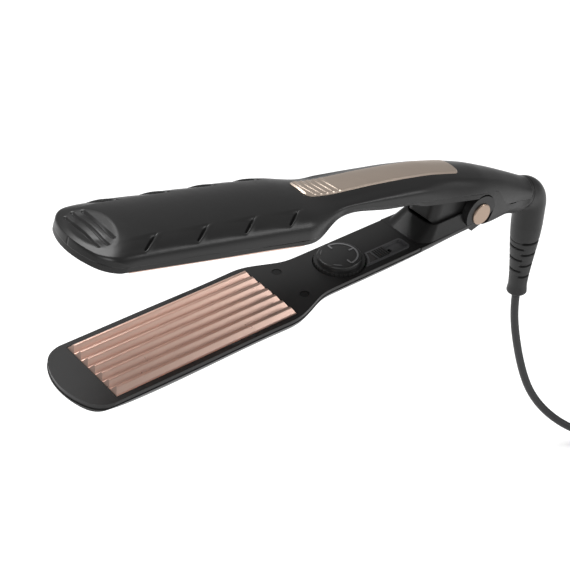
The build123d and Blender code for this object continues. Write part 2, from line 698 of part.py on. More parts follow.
def knuckle_rim():
    """Raised rim round the pocket: its outside slopes down to the edges of the inner face."""
    top_front = KNUCKLE_FRONT + POCKET_GAP + RIM_WALL
    with BuildPart() as rim:
        for height, front, half, corner in ((FACE - SHELL_WALL, RIM_FRONT, EAR_OUTER, RIM_FOOT_ROUND),
                                            (FACE, RIM_FRONT, EAR_OUTER, RIM_FOOT_ROUND),
                                            (RIM_TOP, top_front, EAR_INNER + RIM_WALL, KNUCKLE_CORNER)):
            with BuildSketch(lower_arm.offset(height)):
                with Locations((-front / 2, 0)):
                    RectangleRounded(front, 2 * half, corner)
        loft(ruled=True)
    return rim.part


with BuildPart() as lower_outer_shell:
    add(lower_outside)
    add(knuckle_rim())
    for side in (1, -1):
        ends = sorted((side * EAR_INNER, side * EAR_OUTER))
        add(rod(lower_arm, EAR_RADIUS, *ends))
    for slope in EAR_TRIM_SLOPES:
        rise = radians(slope)
        tilted = Plane(origin=HINGE, x_dir=(cos(rise), 0, sin(rise)), z_dir=(-sin(rise), 0, cos(rise)))
        add(block(tilted, (-60, -60, -60), (60, 60, -EAR_UNDER)), mode=Mode.SUBTRACT)
    add(lower_room.part, mode=Mode.SUBTRACT)
    add(above_seam, mode=Mode.SUBTRACT)
    add(belly_pocket(), mode=Mode.SUBTRACT)
    add(block(lower_arm, (SPRING_REST[0], SPRING_PITCH, -EAR_RADIUS + 1),
              (SPRING_REST[1], SPRING_SLOT_HALF, -SPRING_MEAN_RADIUS - SPRING_WIRE / 2 - SEAT)))
    add(carrier_bosses(lower_plate_plane, lower_core))
    add(bosses(lower_arm, face_screw_places, FACE - SHELL_WALL - SEAT, lower_core))
    add(bosses(lower_arm, board_screw_places, BOARD_UNDER - SEAT, lower_core))
    add(rod(lower_arm, PIN_RADIUS + PIN_RUNNING_FIT, -EAR_OUTER - 1, EAR_OUTER + 1), mode=Mode.SUBTRACT)
    for side in (1, -1):
        ends = sorted((side * (EAR_OUTER - CAP_RECESS), side * (EAR_OUTER + 3)))
        add(rod(lower_arm, CAP_RADIUS + CAP_FIT, *ends), mode=Mode.SUBTRACT)
    for place in face_screw_places + board_screw_places:
        top = FACE if place in face_screw_places else BOARD_TOP
        add(post(lower_arm, place, SCREW_RADIUS, top - SCREW_BORE_DEPTH, top), mode=Mode.SUBTRACT)
finish(lower_outer_shell.part, "lower_outer_shell")


def window_outline(shrink=0.0):
    """Window in the face: straight sides, round rear corners, front edge round the dial."""
    length = SHOULDER_REAR - WINDOW_REAR
    with BuildSketch(Plane.XY) as outline:
        with Locations((-WINDOW_REAR - shrink - length / 2, -WINDOW_OFFSET)):
            corner = WINDOW_CORNER - min(shrink, 0.75 * WINDOW_CORNER)
            RectangleRounded(length, WINDOW_WIDTH - 2 * shrink, corner)
        with Locations((-DIAL_FROM_HINGE, 0)):
            Circle(DIAL_WELL_RADIUS + WINDOW_FROM_WELL + shrink, mode=Mode.SUBTRACT)
        with Locations((-DIAL_FROM_HINGE - 50, 0)):
            Rectangle(100, 100, mode=Mode.SUBTRACT)
    return outline.sketch


with BuildPart() as lower_inner_shell:
    add(lower_blank(SEAM_STEP, 0))
    add(lower_hollow, mode=Mode.SUBTRACT)
    with BuildSketch(lower_arm.offset(SEAM)):
        with Locations((-(ARM_REACH + FACE_END + 0.1) / 2, 0)):
            Rectangle(ARM_REACH - FACE_END - 0.1 + 20, 100)
    extrude(amount=20, mode=Mode.INTERSECT)
    add(plate_opening(lower_plate_plane), mode=Mode.SUBTRACT)
    add(block(lower_arm, (-FACE_END - 0.1, -50, -50), (60, 50, 50)), mode=Mode.SUBTRACT)
    add(post(lower_arm, (-DIAL_FROM_HINGE, 0), DIAL_WELL_RADIUS, -30, 10), mode=Mode.SUBTRACT)
    with BuildSketch(lower_arm.offset(FACE - 10)):
        add(window_outline(-SEAT))
    extrude(amount=20, mode=Mode.SUBTRACT)
    for place in face_screw_places:
        add(post(lower_arm, place, FACE_RECESS_RADIUS, FACE - FACE_RECESS_DEPTH, 10), mode=Mode.SUBTRACT)
        add(post(lower_arm, place, SCREW_RADIUS + SCREW_FIT, -30, 10), mode=Mode.SUBTRACT)
finish(lower_inner_shell.part, "lower_inner_shell")

with BuildPart() as face_screws:
    for place in face_screw_places:
        seat = FACE - FACE_RECESS_DEPTH
        add(post(lower_arm, place, SCREW_HEAD_RADIUS, seat, seat + FACE_SCREW_HEAD))
        add(post(lower_arm, place, SCREW_RADIUS, seat - FACE_SCREW_SHANK, seat))
finish(face_screws.part, "face_screws")


# Controls: dial and its potentiometer, lamp and slide switch, all over one board
DIAL_TOP = -DIAL_TOP_BELOW_HINGE
DIAL_FOOT = FACE - DIAL_SUNK
SHAFT_TOP = DIAL_TOP - SHAFT_UNDER_TOP
HOLLOW_FLOOR = -(GRIP_DEPTH - SHELL_WALL)
dial_place = (-DIAL_FROM_HINGE, 0)

with BuildPart() as dial_knob:
    add(post(lower_arm, dial_place, DIAL_SKIRT_RADIUS, DIAL_FOOT, FACE + DIAL_SKIRT_PROUD))
    with BuildSketch(lower_arm.offset(DIAL_FOOT)):
        with Locations(dial_place):
            with PolarLocations(DIAL_SKIRT_RADIUS, DIAL_NOTCHES):
                Circle(DIAL_NOTCH_RADIUS)
    extrude(amount=FACE + DIAL_SKIRT_PROUD - DIAL_FOOT, mode=Mode.SUBTRACT)
    add(post(lower_arm, dial_place, DIAL_TOP_RADIUS, FACE + DIAL_SKIRT_PROUD, DIAL_TOP))
    fillet(dial_knob.edges().filter_by(GeomType.CIRCLE).sort_by(Axis.Z)[-1], DIAL_EDGE_ROUND)
    with BuildSketch(lower_arm.offset(DIAL_TOP - SEAT)):
        with Locations(dial_place):
            Circle(DIAL_MARK_RADIUS + DIAL_MARK_WIDTH / 2)
            Circle(DIAL_MARK_RADIUS - DIAL_MARK_WIDTH / 2, mode=Mode.SUBTRACT)
            open_half = DIAL_SKIRT_RADIUS * tan(radians((360 - DIAL_MARK_SPAN) / 2))
            open_slope = 180 - degrees(atan2(DIAL_SKIRT_RADIUS, open_half))
            with Locations((-DIAL_SKIRT_RADIUS / 2, 0)):
                Trapezoid(2 * open_half, DIAL_SKIRT_RADIUS, open_slope, rotation=-90, mode=Mode.SUBTRACT)
            with PolarLocations(DIAL_MARK_RADIUS - DIAL_TICK_LENGTH / 2, 3, -90, 270):
                Rectangle(DIAL_TICK_LENGTH, DIAL_MARK_WIDTH)
    extrude(amount=DIAL_MARK_PROUD)
    add(post(lower_arm, dial_place, SHAFT_RADIUS + SEAT, DIAL_FOOT - 1, SHAFT_TOP), mode=Mode.SUBTRACT)
finish(dial_knob.part, "dial_knob")

SHAFT_FOOT = HOLLOW_FLOOR + 2 * FLOOR_GAP
finish(post(lower_arm, dial_place, SHAFT_RADIUS, SHAFT_FOOT, SHAFT_TOP - SEAT), "dial_shaft")

with BuildPart() as potentiometer:
    add(post(lower_arm, dial_place, POT_RADIUS, HOLLOW_FLOOR + FLOOR_GAP, BOARD_TOP + POT_OVER_BOARD))
    add(post(lower_arm, dial_place, SHAFT_RADIUS + SHAFT_FIT, HOLLOW_FLOOR, 0), mode=Mode.SUBTRACT)
finish(potentiometer.part, "potentiometer")

with BuildPart() as control_board:
    add(block(lower_arm, (-BOARD_FRONT, -BOARD_WIDTH / 2, BOARD_UNDER),
              (-BOARD_REAR, BOARD_WIDTH / 2, BOARD_TOP)))
    for front, rear, near, far, height in CHIPS:
        add(block(lower_arm, (front, near, BOARD_TOP - SEAT), (rear, far, BOARD_TOP + height)))
    add(post(lower_arm, dial_place, POT_RADIUS + POT_FIT, -30, 0), mode=Mode.SUBTRACT)
    for place in board_screw_places:
        add(post(lower_arm, place, SCREW_RADIUS + SCREW_FIT, -30, 0), mode=Mode.SUBTRACT)
finish(control_board.part, "control_board")

with BuildPart() as board_screws:
    for place in board_screw_places:
        add(post(lower_arm, place, SCREW_HEAD_RADIUS, BOARD_TOP + SEAT, BOARD_TOP + SCREW_HEAD_HEIGHT))
        add(post(lower_arm, place, SCREW_RADIUS - SEAT, BOARD_UNDER - BOARD_SCREW_GRIP, BOARD_TOP + 2 * SEAT))
finish(board_screws.part, "board_screws")

divider_front = -WINDOW_DIVIDER - DIVIDER_WIDTH / 2
divider_rear = -WINDOW_DIVIDER + DIVIDER_WIDTH / 2
window_top = FACE + WINDOW_PROUD
slot_floor = FACE - WINDOW_FLANGE + SLOT_FLOOR
knob_front = divider_rear + KNOB_GAP
lever_middle = knob_front + KNOB_LENGTH / 2
lever_slot = (LEVER_LENGTH + KNOB_TRAVEL + 2 * KNOB_GAP, LEVER_WIDTH + 2 * KNOB_GAP)
lever_slot_middle = lever_middle + KNOB_TRAVEL / 2


def window_part(shrink, front, rear, low, high):
    """The stretch of the window's outline between two places along the arm."""
    with BuildPart() as piece:
        with BuildSketch(lower_arm.offset(low)):
            add(window_outline(shrink))
            with Locations(((front + rear) / 2, 0)):
                Rectangle(rear - front, 60, mode=Mode.INTERSECT)
        extrude(amount=high - low)
    return piece.part


with BuildPart() as window_frame:
    add(window_part(0, -ARM_REACH, 0, FACE - WINDOW_FLANGE, window_top))
    add(window_part(WINDOW_RIM, -ARM_REACH, divider_front, FACE - 5, FACE + 5), mode=Mode.SUBTRACT)
    add(window_part(WINDOW_RIM, divider_rear, 0, slot_floor, FACE + 5), mode=Mode.SUBTRACT)
    with BuildSketch(lower_arm.offset(FACE - 5)):
        with Locations((lever_slot_middle, -WINDOW_OFFSET)):
            Rectangle(*lever_slot)
    extrude(amount=10, mode=Mode.SUBTRACT)
finish(window_frame.part, "window_frame")

lens = window_part(WINDOW_RIM + SEAT, -ARM_REACH, divider_front - SEAT, FACE - WINDOW_FLANGE,
                   window_top - LENS_SUNK)
finish(lens, "lamp_lens")

with BuildPart() as indicator_led:
    led_place = (divider_front - LED_FROM_DIVIDER, -WINDOW_OFFSET)
    add(post(lower_arm, led_place, LED_RADIUS, BOARD_TOP + SEAT, FACE - WINDOW_FLANGE - LENS_SUNK))
    fillet(indicator_led.edges().sort_by(Axis.Z)[-1], LED_ROUND)
finish(indicator_led.part, "indicator_led")

with BuildPart() as slide_switch:
    with BuildSketch(lower_arm.offset(BOARD_TOP + SEAT)):
        with Locations((lever_slot_middle, -WINDOW_OFFSET)):
            Rectangle(SWITCH_LENGTH, SWITCH_WIDTH)
    extrude(amount=SWITCH_HEIGHT)
    with BuildSketch(lower_arm.offset(BOARD_TOP + SWITCH_HEIGHT + 1)):
        with Locations((lever_slot_middle, -WINDOW_OFFSET)):
            Rectangle(*lever_slot)
    extrude(amount=-SWITCH_SLOT - 1, mode=Mode.SUBTRACT)
finish(slide_switch.part, "slide_switch")

with BuildPart() as slide_knob:
    half = WINDOW_WIDTH / 2 - WINDOW_RIM - KNOB_GAP
    knob_foot = slot_floor + KNOB_GAP
    knob_top = FACE + KNOB_PROUD
    add(block(lower_arm, (knob_front, -WINDOW_OFFSET - half, knob_foot),
              (knob_front + KNOB_LENGTH, -WINDOW_OFFSET + half, knob_top)))
    for groove in range(KNOB_GROOVES):
        middle = lever_middle + (groove - (KNOB_GROOVES - 1) / 2) * KNOB_GROOVE_PITCH
        add(block(lower_arm, (middle - KNOB_GROOVE / 2, -WINDOW_OFFSET - half, knob_top - KNOB_GROOVE_DEPTH),
                  (middle + KNOB_GROOVE / 2, -WINDOW_OFFSET + half, knob_top + 1)), mode=Mode.SUBTRACT)
    add(block(lower_arm, (lever_middle - LEVER_LENGTH / 2, -WINDOW_OFFSET - LEVER_WIDTH / 2,
                          BOARD_TOP + SWITCH_HEIGHT - SWITCH_SLOT + KNOB_GAP),
              (lever_middle + LEVER_LENGTH / 2, -WINDOW_OFFSET + LEVER_WIDTH / 2, knob_foot)))
finish(slide_knob.part, "slide_knob")


# Paths of quarter turns: each is a pair of arcs that share their tangent
def biarc(start, start_way, end, end_way):
    """Joint of the two arcs that run from start to end with the given directions."""
    gap = end - start
    ways = start_way + end_way
    bend = 2 * (1 - start_way.dot(end_way))
    along_gap = gap.dot(ways)
    if bend > 1e-9:
        reach = (sqrt(along_gap ** 2 + bend * gap.dot(gap)) - along_gap) / bend
    else:
        reach = gap.dot(gap) / (2 * along_gap)
    start_corner = start + start_way * reach
    end_corner = end - end_way * reach
    return (start_corner + end_corner) / 2, (end_corner - start_corner).normalized()


def tangent_path(lead_in, knots, lead_out):
    """Wire through the knots (place, direction), with a straight run before and after."""
    with BuildLine() as path:
        Line(lead_in, knots[0][0])
        for (start, start_way), (end, end_way) in zip(knots, knots[1:]):
            if (end - start).cross(start_way).length < 1e-6:
                Line(start, end)
            else:
                middle, middle_way = biarc(start, start_way, end, end_way)
                TangentArc(start, middle, tangent=start_way)
                TangentArc(middle, end, tangent=middle_way)
        Line(knots[-1][0], lead_out)
    return path.wires()[0]


def tube(path, radius):
    start_way = path % 0
    with BuildPart() as swept:
        with BuildSketch(Plane(origin=path @ 0, z_dir=start_way)):
            Circle(radius)
        sweep(path=path)
    return swept.part


# Hinge: pin fixed in the knuckle, washers, opening spring round the pin, caps in the ears
with BuildPart() as hinge_pin:
    pin_half = EAR_OUTER - CAP_RECESS - PIN_END_GAP
    add(rod(lower_arm, PIN_RADIUS, -pin_half, pin_half))
    chamfer(hinge_pin.edges(), PIN_CHAMFER)
finish(hinge_pin.part, "hinge_pin")

with BuildPart() as hinge_washers:
    side_gap = (EAR_INNER - KNUCKLE_HALF - WASHER_THICK) / 2
    for side in (1, -1):
        ends = sorted((side * (KNUCKLE_HALF + side_gap), side * (EAR_INNER - side_gap)))
        add(rod(lower_arm, WASHER_RADIUS, *ends))
    add(rod(lower_arm, PIN_RADIUS + PIN_RUNNING_FIT, -EAR_OUTER, EAR_OUTER), mode=Mode.SUBTRACT)
finish(hinge_washers.part, "hinge_washers")

with BuildPart() as hinge_caps:
    for side in (1, -1):
        ends = sorted((side * (EAR_OUTER - CAP_RECESS + SEAT), side * (EAR_OUTER + CAP_PROUD)))
        add(rod(lower_arm, CAP_RADIUS, *ends))
    outer_rims = hinge_caps.edges().filter_by(GeomType.CIRCLE).group_by(Axis.Y)
    chamfer(outer_rims[0] + outer_rims[-1], CAP_CHAMFER)
finish(hinge_caps.part, "hinge_caps")


def return_spring():
    """Torsion spring: one leg bears under the knuckle's roof, the other on the lower arm."""
    total = 360 * SPRING_TURNS + 180 - OPEN_ANGLE
    quarters = round(total / 90)
    rise = SPRING_TURNS * SPRING_PITCH
    knots = []
    for step in range(quarters + 1):
        share = step / quarters
        angle = radians(-90 + total * share)
        radial = Vector(cos(angle), 0, sin(angle)) * SPRING_MEAN_RADIUS
        place = HINGE + radial + Vector(0, rise * (share - 0.5), 0)
        pitch_part = rise / radians(total) if 0 < step < quarters else 0
        way = Vector(-sin(angle) * SPRING_MEAN_RADIUS, pitch_part, cos(angle) * SPRING_MEAN_RADIUS)
        knots.append((place, way.normalized()))
    lead_in = knots[0][0] - knots[0][1] * SPRING_LEG
    lead_out = knots[-1][0] + knots[-1][1] * SPRING_LEG
    return tube(tangent_path(lead_in, knots, lead_out), SPRING_WIRE / 2)


finish(return_spring(), "return_spring")


# Upper arm's shells and the trim strip along the handle
def trim_region(grow):
    with BuildPart() as region:
        with BuildSketch(upper_arm.offset(HANDLE_UNDER + SHELL_WALL)):
            with Locations((-(INLAY_FRONT + INLAY_REAR) / 2, 0)):
                RectangleRounded(INLAY_FRONT - INLAY_REAR + 2 * grow, 2 * (INLAY_HALF + grow), 4.0)
        extrude(amount=60)
    return region.part


upper_outside = upper_blank(0, 0)
upper_core = upper_blank(SHELL_WALL / 2, SHELL_WALL / 2)
with BuildPart() as upper_hollow:
    add(upper_blank(SHELL_WALL, SHELL_WALL))
    add(block(upper_arm, (-BELLY_FRONT - 6, -60, -60),
              (EAR_RADIUS + 4.5, 60, HANDLE_UNDER + SHELL_WALL + 0.1)), mode=Mode.SUBTRACT)
    add(rod(upper_arm, EAR_RADIUS + HINGE_SIDE_GAP + SHELL_WALL, -60, 60), mode=Mode.SUBTRACT)

with BuildPart() as ear_room:
    for side in (1, -1):
        ends = sorted((side * KNUCKLE_HALF, side * 40))
        add(rod(upper_arm, EAR_RADIUS + HINGE_SIDE_GAP, *ends))
    with BuildSketch(upper_arm.offset(-40)):
        with Locations((-(BELLY_FRONT + 2) / 2, 0)):
            Rectangle(BELLY_FRONT + 2, 80)
        add(knuckle_outline(KNUCKLE_FRONT, KNUCKLE_HALF), mode=Mode.SUBTRACT)
    extrude(amount=40 + HANDLE_UNDER + 0.1)

with BuildPart() as upper_walls:
    add(upper_outside)
    add(upper_hollow.part, mode=Mode.SUBTRACT)
    add(ear_room.part, mode=Mode.SUBTRACT)

below_seam = upper_below_seam()
with BuildPart() as upper_inner_shell:
    add(upper_walls.part)
    add(below_seam, mode=Mode.INTERSECT)
    add(plate_opening(upper_plate_plane), mode=Mode.SUBTRACT)
    slot_top = SPRING_MEAN_RADIUS + SPRING_WIRE / 2 + 0.1
    add(block(upper_arm, (-SPRING_LEG - 3, -SPRING_SLOT_HALF, -30), (slot_top + 1, SPRING_SLOT_HALF, slot_top)),
        mode=Mode.SUBTRACT)
    add(rod(upper_arm, PIN_RADIUS + SEAT, -30, 30), mode=Mode.SUBTRACT)
finish(upper_inner_shell.part, "upper_inner_shell")

with BuildPart() as handle_inlay:
    add(upper_blank(-INLAY_PROUD, -INLAY_PROUD))
    add(upper_blank(INLAY_THICK, INLAY_THICK), mode=Mode.SUBTRACT)
    add(trim_region(0), mode=Mode.INTERSECT)
finish(handle_inlay.part, "handle_inlay")

with BuildPart() as trim_room:
    add(trim_region(SEAT))
    add(upper_blank(INLAY_THICK + SEAT, INLAY_THICK + SEAT), mode=Mode.SUBTRACT)

with BuildPart() as upper_outer_shell:
    add(upper_walls.part)
    add(below_seam, mode=Mode.SUBTRACT)
    add(carrier_bosses(upper_plate_plane, upper_core))
    add(trim_room.part, mode=Mode.SUBTRACT)
finish(upper_outer_shell.part, "upper_outer_shell")


# Wires: two leads from each heater; planar routes given along the arm and up
heater_end = PLATE_REAR + (PLATE_LENGTH - HEATER_LENGTH) / 2 - WIRE_END_GAP
heater_level = CREST_BELOW_HINGE + PLATE_BACK + WIRE_LEVEL


def wires(arm, route):
    with BuildPart() as leads:
        for side in (1, -1):
            with BuildLine(side_plane(arm, side * WIRE_HALF_GAP)) as path:
                FilletPolyline(*route, radius=WIRE_BEND)
            lead = path.wires()[0]
            with BuildSketch(Plane(origin=lead @ 0, z_dir=lead % 0)):
                Circle(WIRE_RADIUS)
            sweep(path=lead)
    return leads.part


upper_route = [
    (-heater_end, PLATE_BACK + WIRE_LEVEL - CREST_BELOW_HINGE - 8.5 * TOE_SLOPE), (-112, 5.5),
    (-96, 12.4), (-60, 14.4), (-12, 15.2), (11, 14.0), (22, 6.0), (CLAMP_FROM_HINGE - WIRE_END_GAP, 2.0)]
finish(wires(upper_arm, upper_route), "upper_wires")

lower_route = [(-heater_end, -heater_level), (-112, -heater_level), (-103, BOARD_TOP - BOARD_THICK / 2),
               (-BOARD_FRONT - WIRE_END_GAP, BOARD_TOP - BOARD_THICK / 2)]
finish(wires(lower_arm, lower_route), "lower_wires")


# Neck: cord clamp, collar, swivel elbow and boot
def neck_plane(x):
    return Plane(origin=upper_arm.from_local_coords((x, 0, NECK_RISE)), x_dir=upper_arm.y_dir,
                 z_dir=upper_arm.x_dir)


def neck_disc(radius, start, end):
    with BuildPart() as disc:
        with BuildSketch(neck_plane(start)):
            Circle(radius)
        extrude(amount=end - start)
    return disc.part


clamp_floor = belly(CLAMP_FROM_HINGE + CLAMP_LENGTH / 2) + SHELL_WALL + 0.3
with BuildPart() as cord_clamp:
    add(block(upper_arm, (CLAMP_FROM_HINGE, -CLAMP_WIDTH / 2, clamp_floor),
              (CLAMP_FROM_HINGE + CLAMP_LENGTH, CLAMP_WIDTH / 2, clamp_floor + CLAMP_HEIGHT)))
finish(cord_clamp.part, "cord_clamp")

COLLAR_END = NECK_END + COLLAR_LENGTH
with BuildPart() as swivel_collar:
    add(neck_disc(NECK_RADIUS, NECK_END + SEAT, COLLAR_END))
    add(neck_disc(SPIGOT_RADIUS, NECK_END - COLLAR_SPIGOT, NECK_END + 1))
    add(neck_disc(SWIVEL_RADIUS + SWIVEL_FIT, NECK_END - 20, COLLAR_END + 1), mode=Mode.SUBTRACT)
finish(swivel_collar.part, "swivel_collar")

ELBOW_START = COLLAR_END + SWIVEL_GAP
bend_angle = 90 - OPEN_ANGLE
with BuildLine(side_plane(upper_arm)) as elbow_path:
    bend = JernArc((ELBOW_START, NECK_RISE), (1, 0), ELBOW_BEND, -bend_angle)
    Line(bend @ 1, bend @ 1 + (bend % 1) * ELBOW_STRAIGHT)
elbow_wire = elbow_path.wires()[0]
flange_rear = NECK_END - COLLAR_SPIGOT - SWIVEL_GAP
with BuildPart() as swivel_elbow:
    with BuildSketch(neck_plane(ELBOW_START)):
        Circle(NECK_RADIUS)
    sweep(path=elbow_wire)
    add(neck_disc(SWIVEL_RADIUS, flange_rear - FLANGE_THICK, ELBOW_START + 1))
    add(neck_disc(FLANGE_RADIUS, flange_rear - FLANGE_THICK, flange_rear))
finish(swivel_elbow.part, "swivel_elbow")

boot_top = elbow_wire @ 1
BOOT_AXIS = Vector(boot_top.X, 0, 0)
boot_plane = Plane(origin=boot_top, x_dir=(1, 0, 0), z_dir=(0, 0, 1))


def boot_radius(down):
    """Boot's radius at a distance below its top: full at the elbow, thin at the cord."""
    taper = ease(down, -4, BOOT_LENGTH * 0.95)
    flare = BOOT_END_FLARE * ease(down, BOOT_LENGTH - 6, BOOT_LENGTH)
    return NECK_RADIUS - (NECK_RADIUS - BOOT_END_RADIUS) * taper + flare


with BuildPart() as cord_boot:
    with BuildSketch(Plane(origin=boot_top, x_dir=(1, 0, 0), z_dir=(0, -1, 0))):
        with BuildLine():
            downs = [BOOT_GAP + share * (BOOT_LENGTH - BOOT_GAP) for share in (0, 0.2, 0.4, 0.6, 0.78, 0.9, 1)]
            side = Spline([(boot_radius(down), -down) for down in downs])
            Polyline(side @ 1, (0, -BOOT_LENGTH), (0, -BOOT_GAP), side @ 0)
        make_face()
    revolve(axis=Axis(boot_top, (0, 0, 1)))
    for groove in range(BOOT_GROOVES):
        down = BOOT_FIRST_GROOVE + groove * BOOT_GROOVE_PITCH
        with BuildSketch(boot_plane.offset(-down)):
            Circle(NECK_RADIUS + 2)
            Circle(boot_radius(down) - BOOT_GROOVE_DEPTH, mode=Mode.SUBTRACT)
        extrude(amount=-BOOT_GROOVE, mode=Mode.SUBTRACT)
finish(cord_boot.part, "cord_boot")


# Cord: hangs from the boot, turns level over the resting surface and ends in a coil
heading = Vector(cos(radians(CORD_HEADING)), sin(radians(CORD_HEADING)), 0)
boot_end = boot_top.Z - BOOT_LENGTH
route = [Vector(boot_top.X, 0, boot_end - CORD_GAP)]
route += [BOOT_AXIS + heading * offset + Vector(0, 0, HINGE.Z + height) for offset, height in CORD_HANG]
route += [HINGE + Vector(ahead, side, CORD_LEVEL) for ahead, side in CORD_REACH]
coil_entry = HINGE + Vector(COIL_FROM_HINGE, CORD_REACH[-1][1], CORD_LEVEL)
route.append(coil_entry - Vector(CORD_DIAMETER, 0, 0))
runs = [(end - start) for start, end in zip(route, route[1:])]
cord_radii = []
for before, after in zip(runs, runs[1:]):
    half_turn = radians(before.get_angle(after)) / 2
    cord_radii.append(BEND_SHARE * min(before.length, after.length) / tan(half_turn))
print("cord radii", [round(radius, 1) for radius in cord_radii])
with BuildLine() as stretch_line:
    FilletPolyline(*route, radius=cord_radii)
stretch_path = stretch_line.wires()[0]
stretch = tube(stretch_path, CORD_DIAMETER / 2)
print("cord stretch", round(stretch_path.length, 1), "volume ratio",
      round(stretch.volume / (pi * CORD_DIAMETER ** 2 / 4 * stretch_path.length), 4))
finish(stretch, "cord_stretch")

# Coil: four layers that spiral in and out, entered at the bottom; the end crosses the top
coil_middle = coil_entry + Vector(0, COIL_RADIUS, 0)


def coil_radius(turn):
    """Radius falls and rises in turn, evenly with the angle, one way in each layer."""
    within = turn % (2 * TURNS_IN_LAYER)
    return COIL_RADIUS - COIL_PITCH * (TURNS_IN_LAYER - abs(TURNS_IN_LAYER - within))


def coil_place(turn):
    """Place on the coil: a layer is climbed in the half turn round each turn back and at the end."""
    angle = 2 * pi * turn - pi / 2
    climbs = [TURNS_IN_LAYER * layer for layer in range(1, COIL_LAYERS)] + [COIL_TURNS - 0.25]
    layers_up = sum(ease(turn, climb - 0.25, climb + 0.25) for climb in climbs)
    radial = Vector(cos(angle), sin(angle), 0)
    return coil_middle + radial * coil_radius(turn) + Vector(0, 0, LAYER_PITCH * layers_up)


def coil_way(turn):
    """Direction at a quarter turn: square to the radius at both ends, else as the coil runs."""
    if turn == 0 or turn == COIL_TURNS:
        angle = 2 * pi * turn
        return Vector(cos(angle), sin(angle), 0)
    return (coil_place(turn + 0.001) - coil_place(turn - 0.001)).normalized()


quarter_turns = [quarter / 4 for quarter in range(int(4 * COIL_TURNS) + 1)]
coil_knots = [(coil_place(turn), coil_way(turn)) for turn in quarter_turns]
coil_top = coil_entry.Z + (COIL_LAYERS - 1) * LAYER_PITCH + CORD_DIAMETER / 2
tail_place = coil_knots[-1][0] + Vector(TAIL_BEND, -TAIL_BEND, 0)
tail_end = Vector(tail_place.X, tail_place.Y, coil_top + PLUG_REST + PLUG_THICK / 2)
coil_knots.append((tail_end, Vector(1, 0, 0)))
plug_start = tail_end + Vector(CORD_DIAMETER, 0, 0)
coil_path = tangent_path(route[-1], coil_knots, plug_start)
finish(tube(coil_path, CORD_DIAMETER / 2), "cord_coil")


def least_gap(path, diameter):
    """Least gap of a tube to itself, on points far enough apart along it."""
    count = int(path.length / 1.5)
    points = [path @ (step / count) for step in range(count + 1)]
    apart = int(3 * diameter / (path.length / count))
    near = min((first - second).length for place, first in enumerate(points)
               for second in points[place + apart:])
    return near - diameter


print("coil length", round(coil_path.length, 1), "least gap", round(least_gap(coil_path, CORD_DIAMETER), 2))
print("cord in all", round(stretch_path.length + coil_path.length, 1))

# Plug: flat two-pin body lying on the coil
def plug_plane(forward):
    return Plane(origin=plug_start + Vector(forward, 0, 0), x_dir=(0, 1, 0), z_dir=(1, 0, 0))


with BuildPart() as plug_body:
    sections = [(0.0, *PLUG_FRONT)] + [(ahead, wide, PLUG_THICK) for ahead, wide in PLUG_SLOPES]
    for ahead, wide, thick in sections + [(PLUG_LENGTH, PLUG_WIDTH, PLUG_THICK)]:
        with BuildSketch(plug_plane(PLUG_RELIEF + ahead)):
            RectangleRounded(wide, thick, PLUG_CORNER)
    loft(ruled=True)
    with BuildSketch(plug_plane(0)):
        Circle(CORD_DIAMETER / 2 + RELIEF_WALL)
    with BuildSketch(plug_plane(PLUG_RELIEF + 1)):
        Circle(RELIEF_END_RADIUS)
    loft()
    with BuildSketch(plug_plane(PLUG_RELIEF + PLUG_LENGTH)):
        with GridLocations(PIN_SPACING, 1, 2, 1):
            Circle(PIN_ROOT_RADIUS + SEAT)
    extrude(amount=-PIN_ROOT - SEAT, mode=Mode.SUBTRACT)
finish(plug_body.part, "plug_body")

with BuildPart() as plug_pins:
    with BuildSketch(plug_plane(PLUG_RELIEF + PLUG_LENGTH)):
        with GridLocations(PIN_SPACING, 1, 2, 1):
            Circle(PLUG_PIN_RADIUS)
    extrude(amount=PLUG_PIN_LENGTH - PIN_TIP)
    with BuildSketch(plug_plane(PLUG_RELIEF + PLUG_LENGTH + PLUG_PIN_LENGTH - PIN_TIP)):
        with GridLocations(PIN_SPACING, 1, 2, 1):
            Circle(PLUG_PIN_RADIUS)
    extrude(amount=PIN_TIP, taper=PIN_TIP_TAPER)
    with BuildSketch(plug_plane(PLUG_RELIEF + PLUG_LENGTH)):
        with GridLocations(PIN_SPACING, 1, 2, 1):
            Circle(PIN_ROOT_RADIUS)
    extrude(amount=-PIN_ROOT)
finish(plug_pins.part, "plug_pins")

print("hinge", HINGE, "boot axis", round(BOOT_AXIS.X, 2), "boot end", round(boot_end, 2))
print("lowest", round(coil_entry.Z - CORD_DIAMETER / 2, 2), "plug face", plug_plane(PLUG_RELIEF + PLUG_LENGTH).origin)
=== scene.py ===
import bpy
import numpy as np
from mathutils import Matrix, Vector


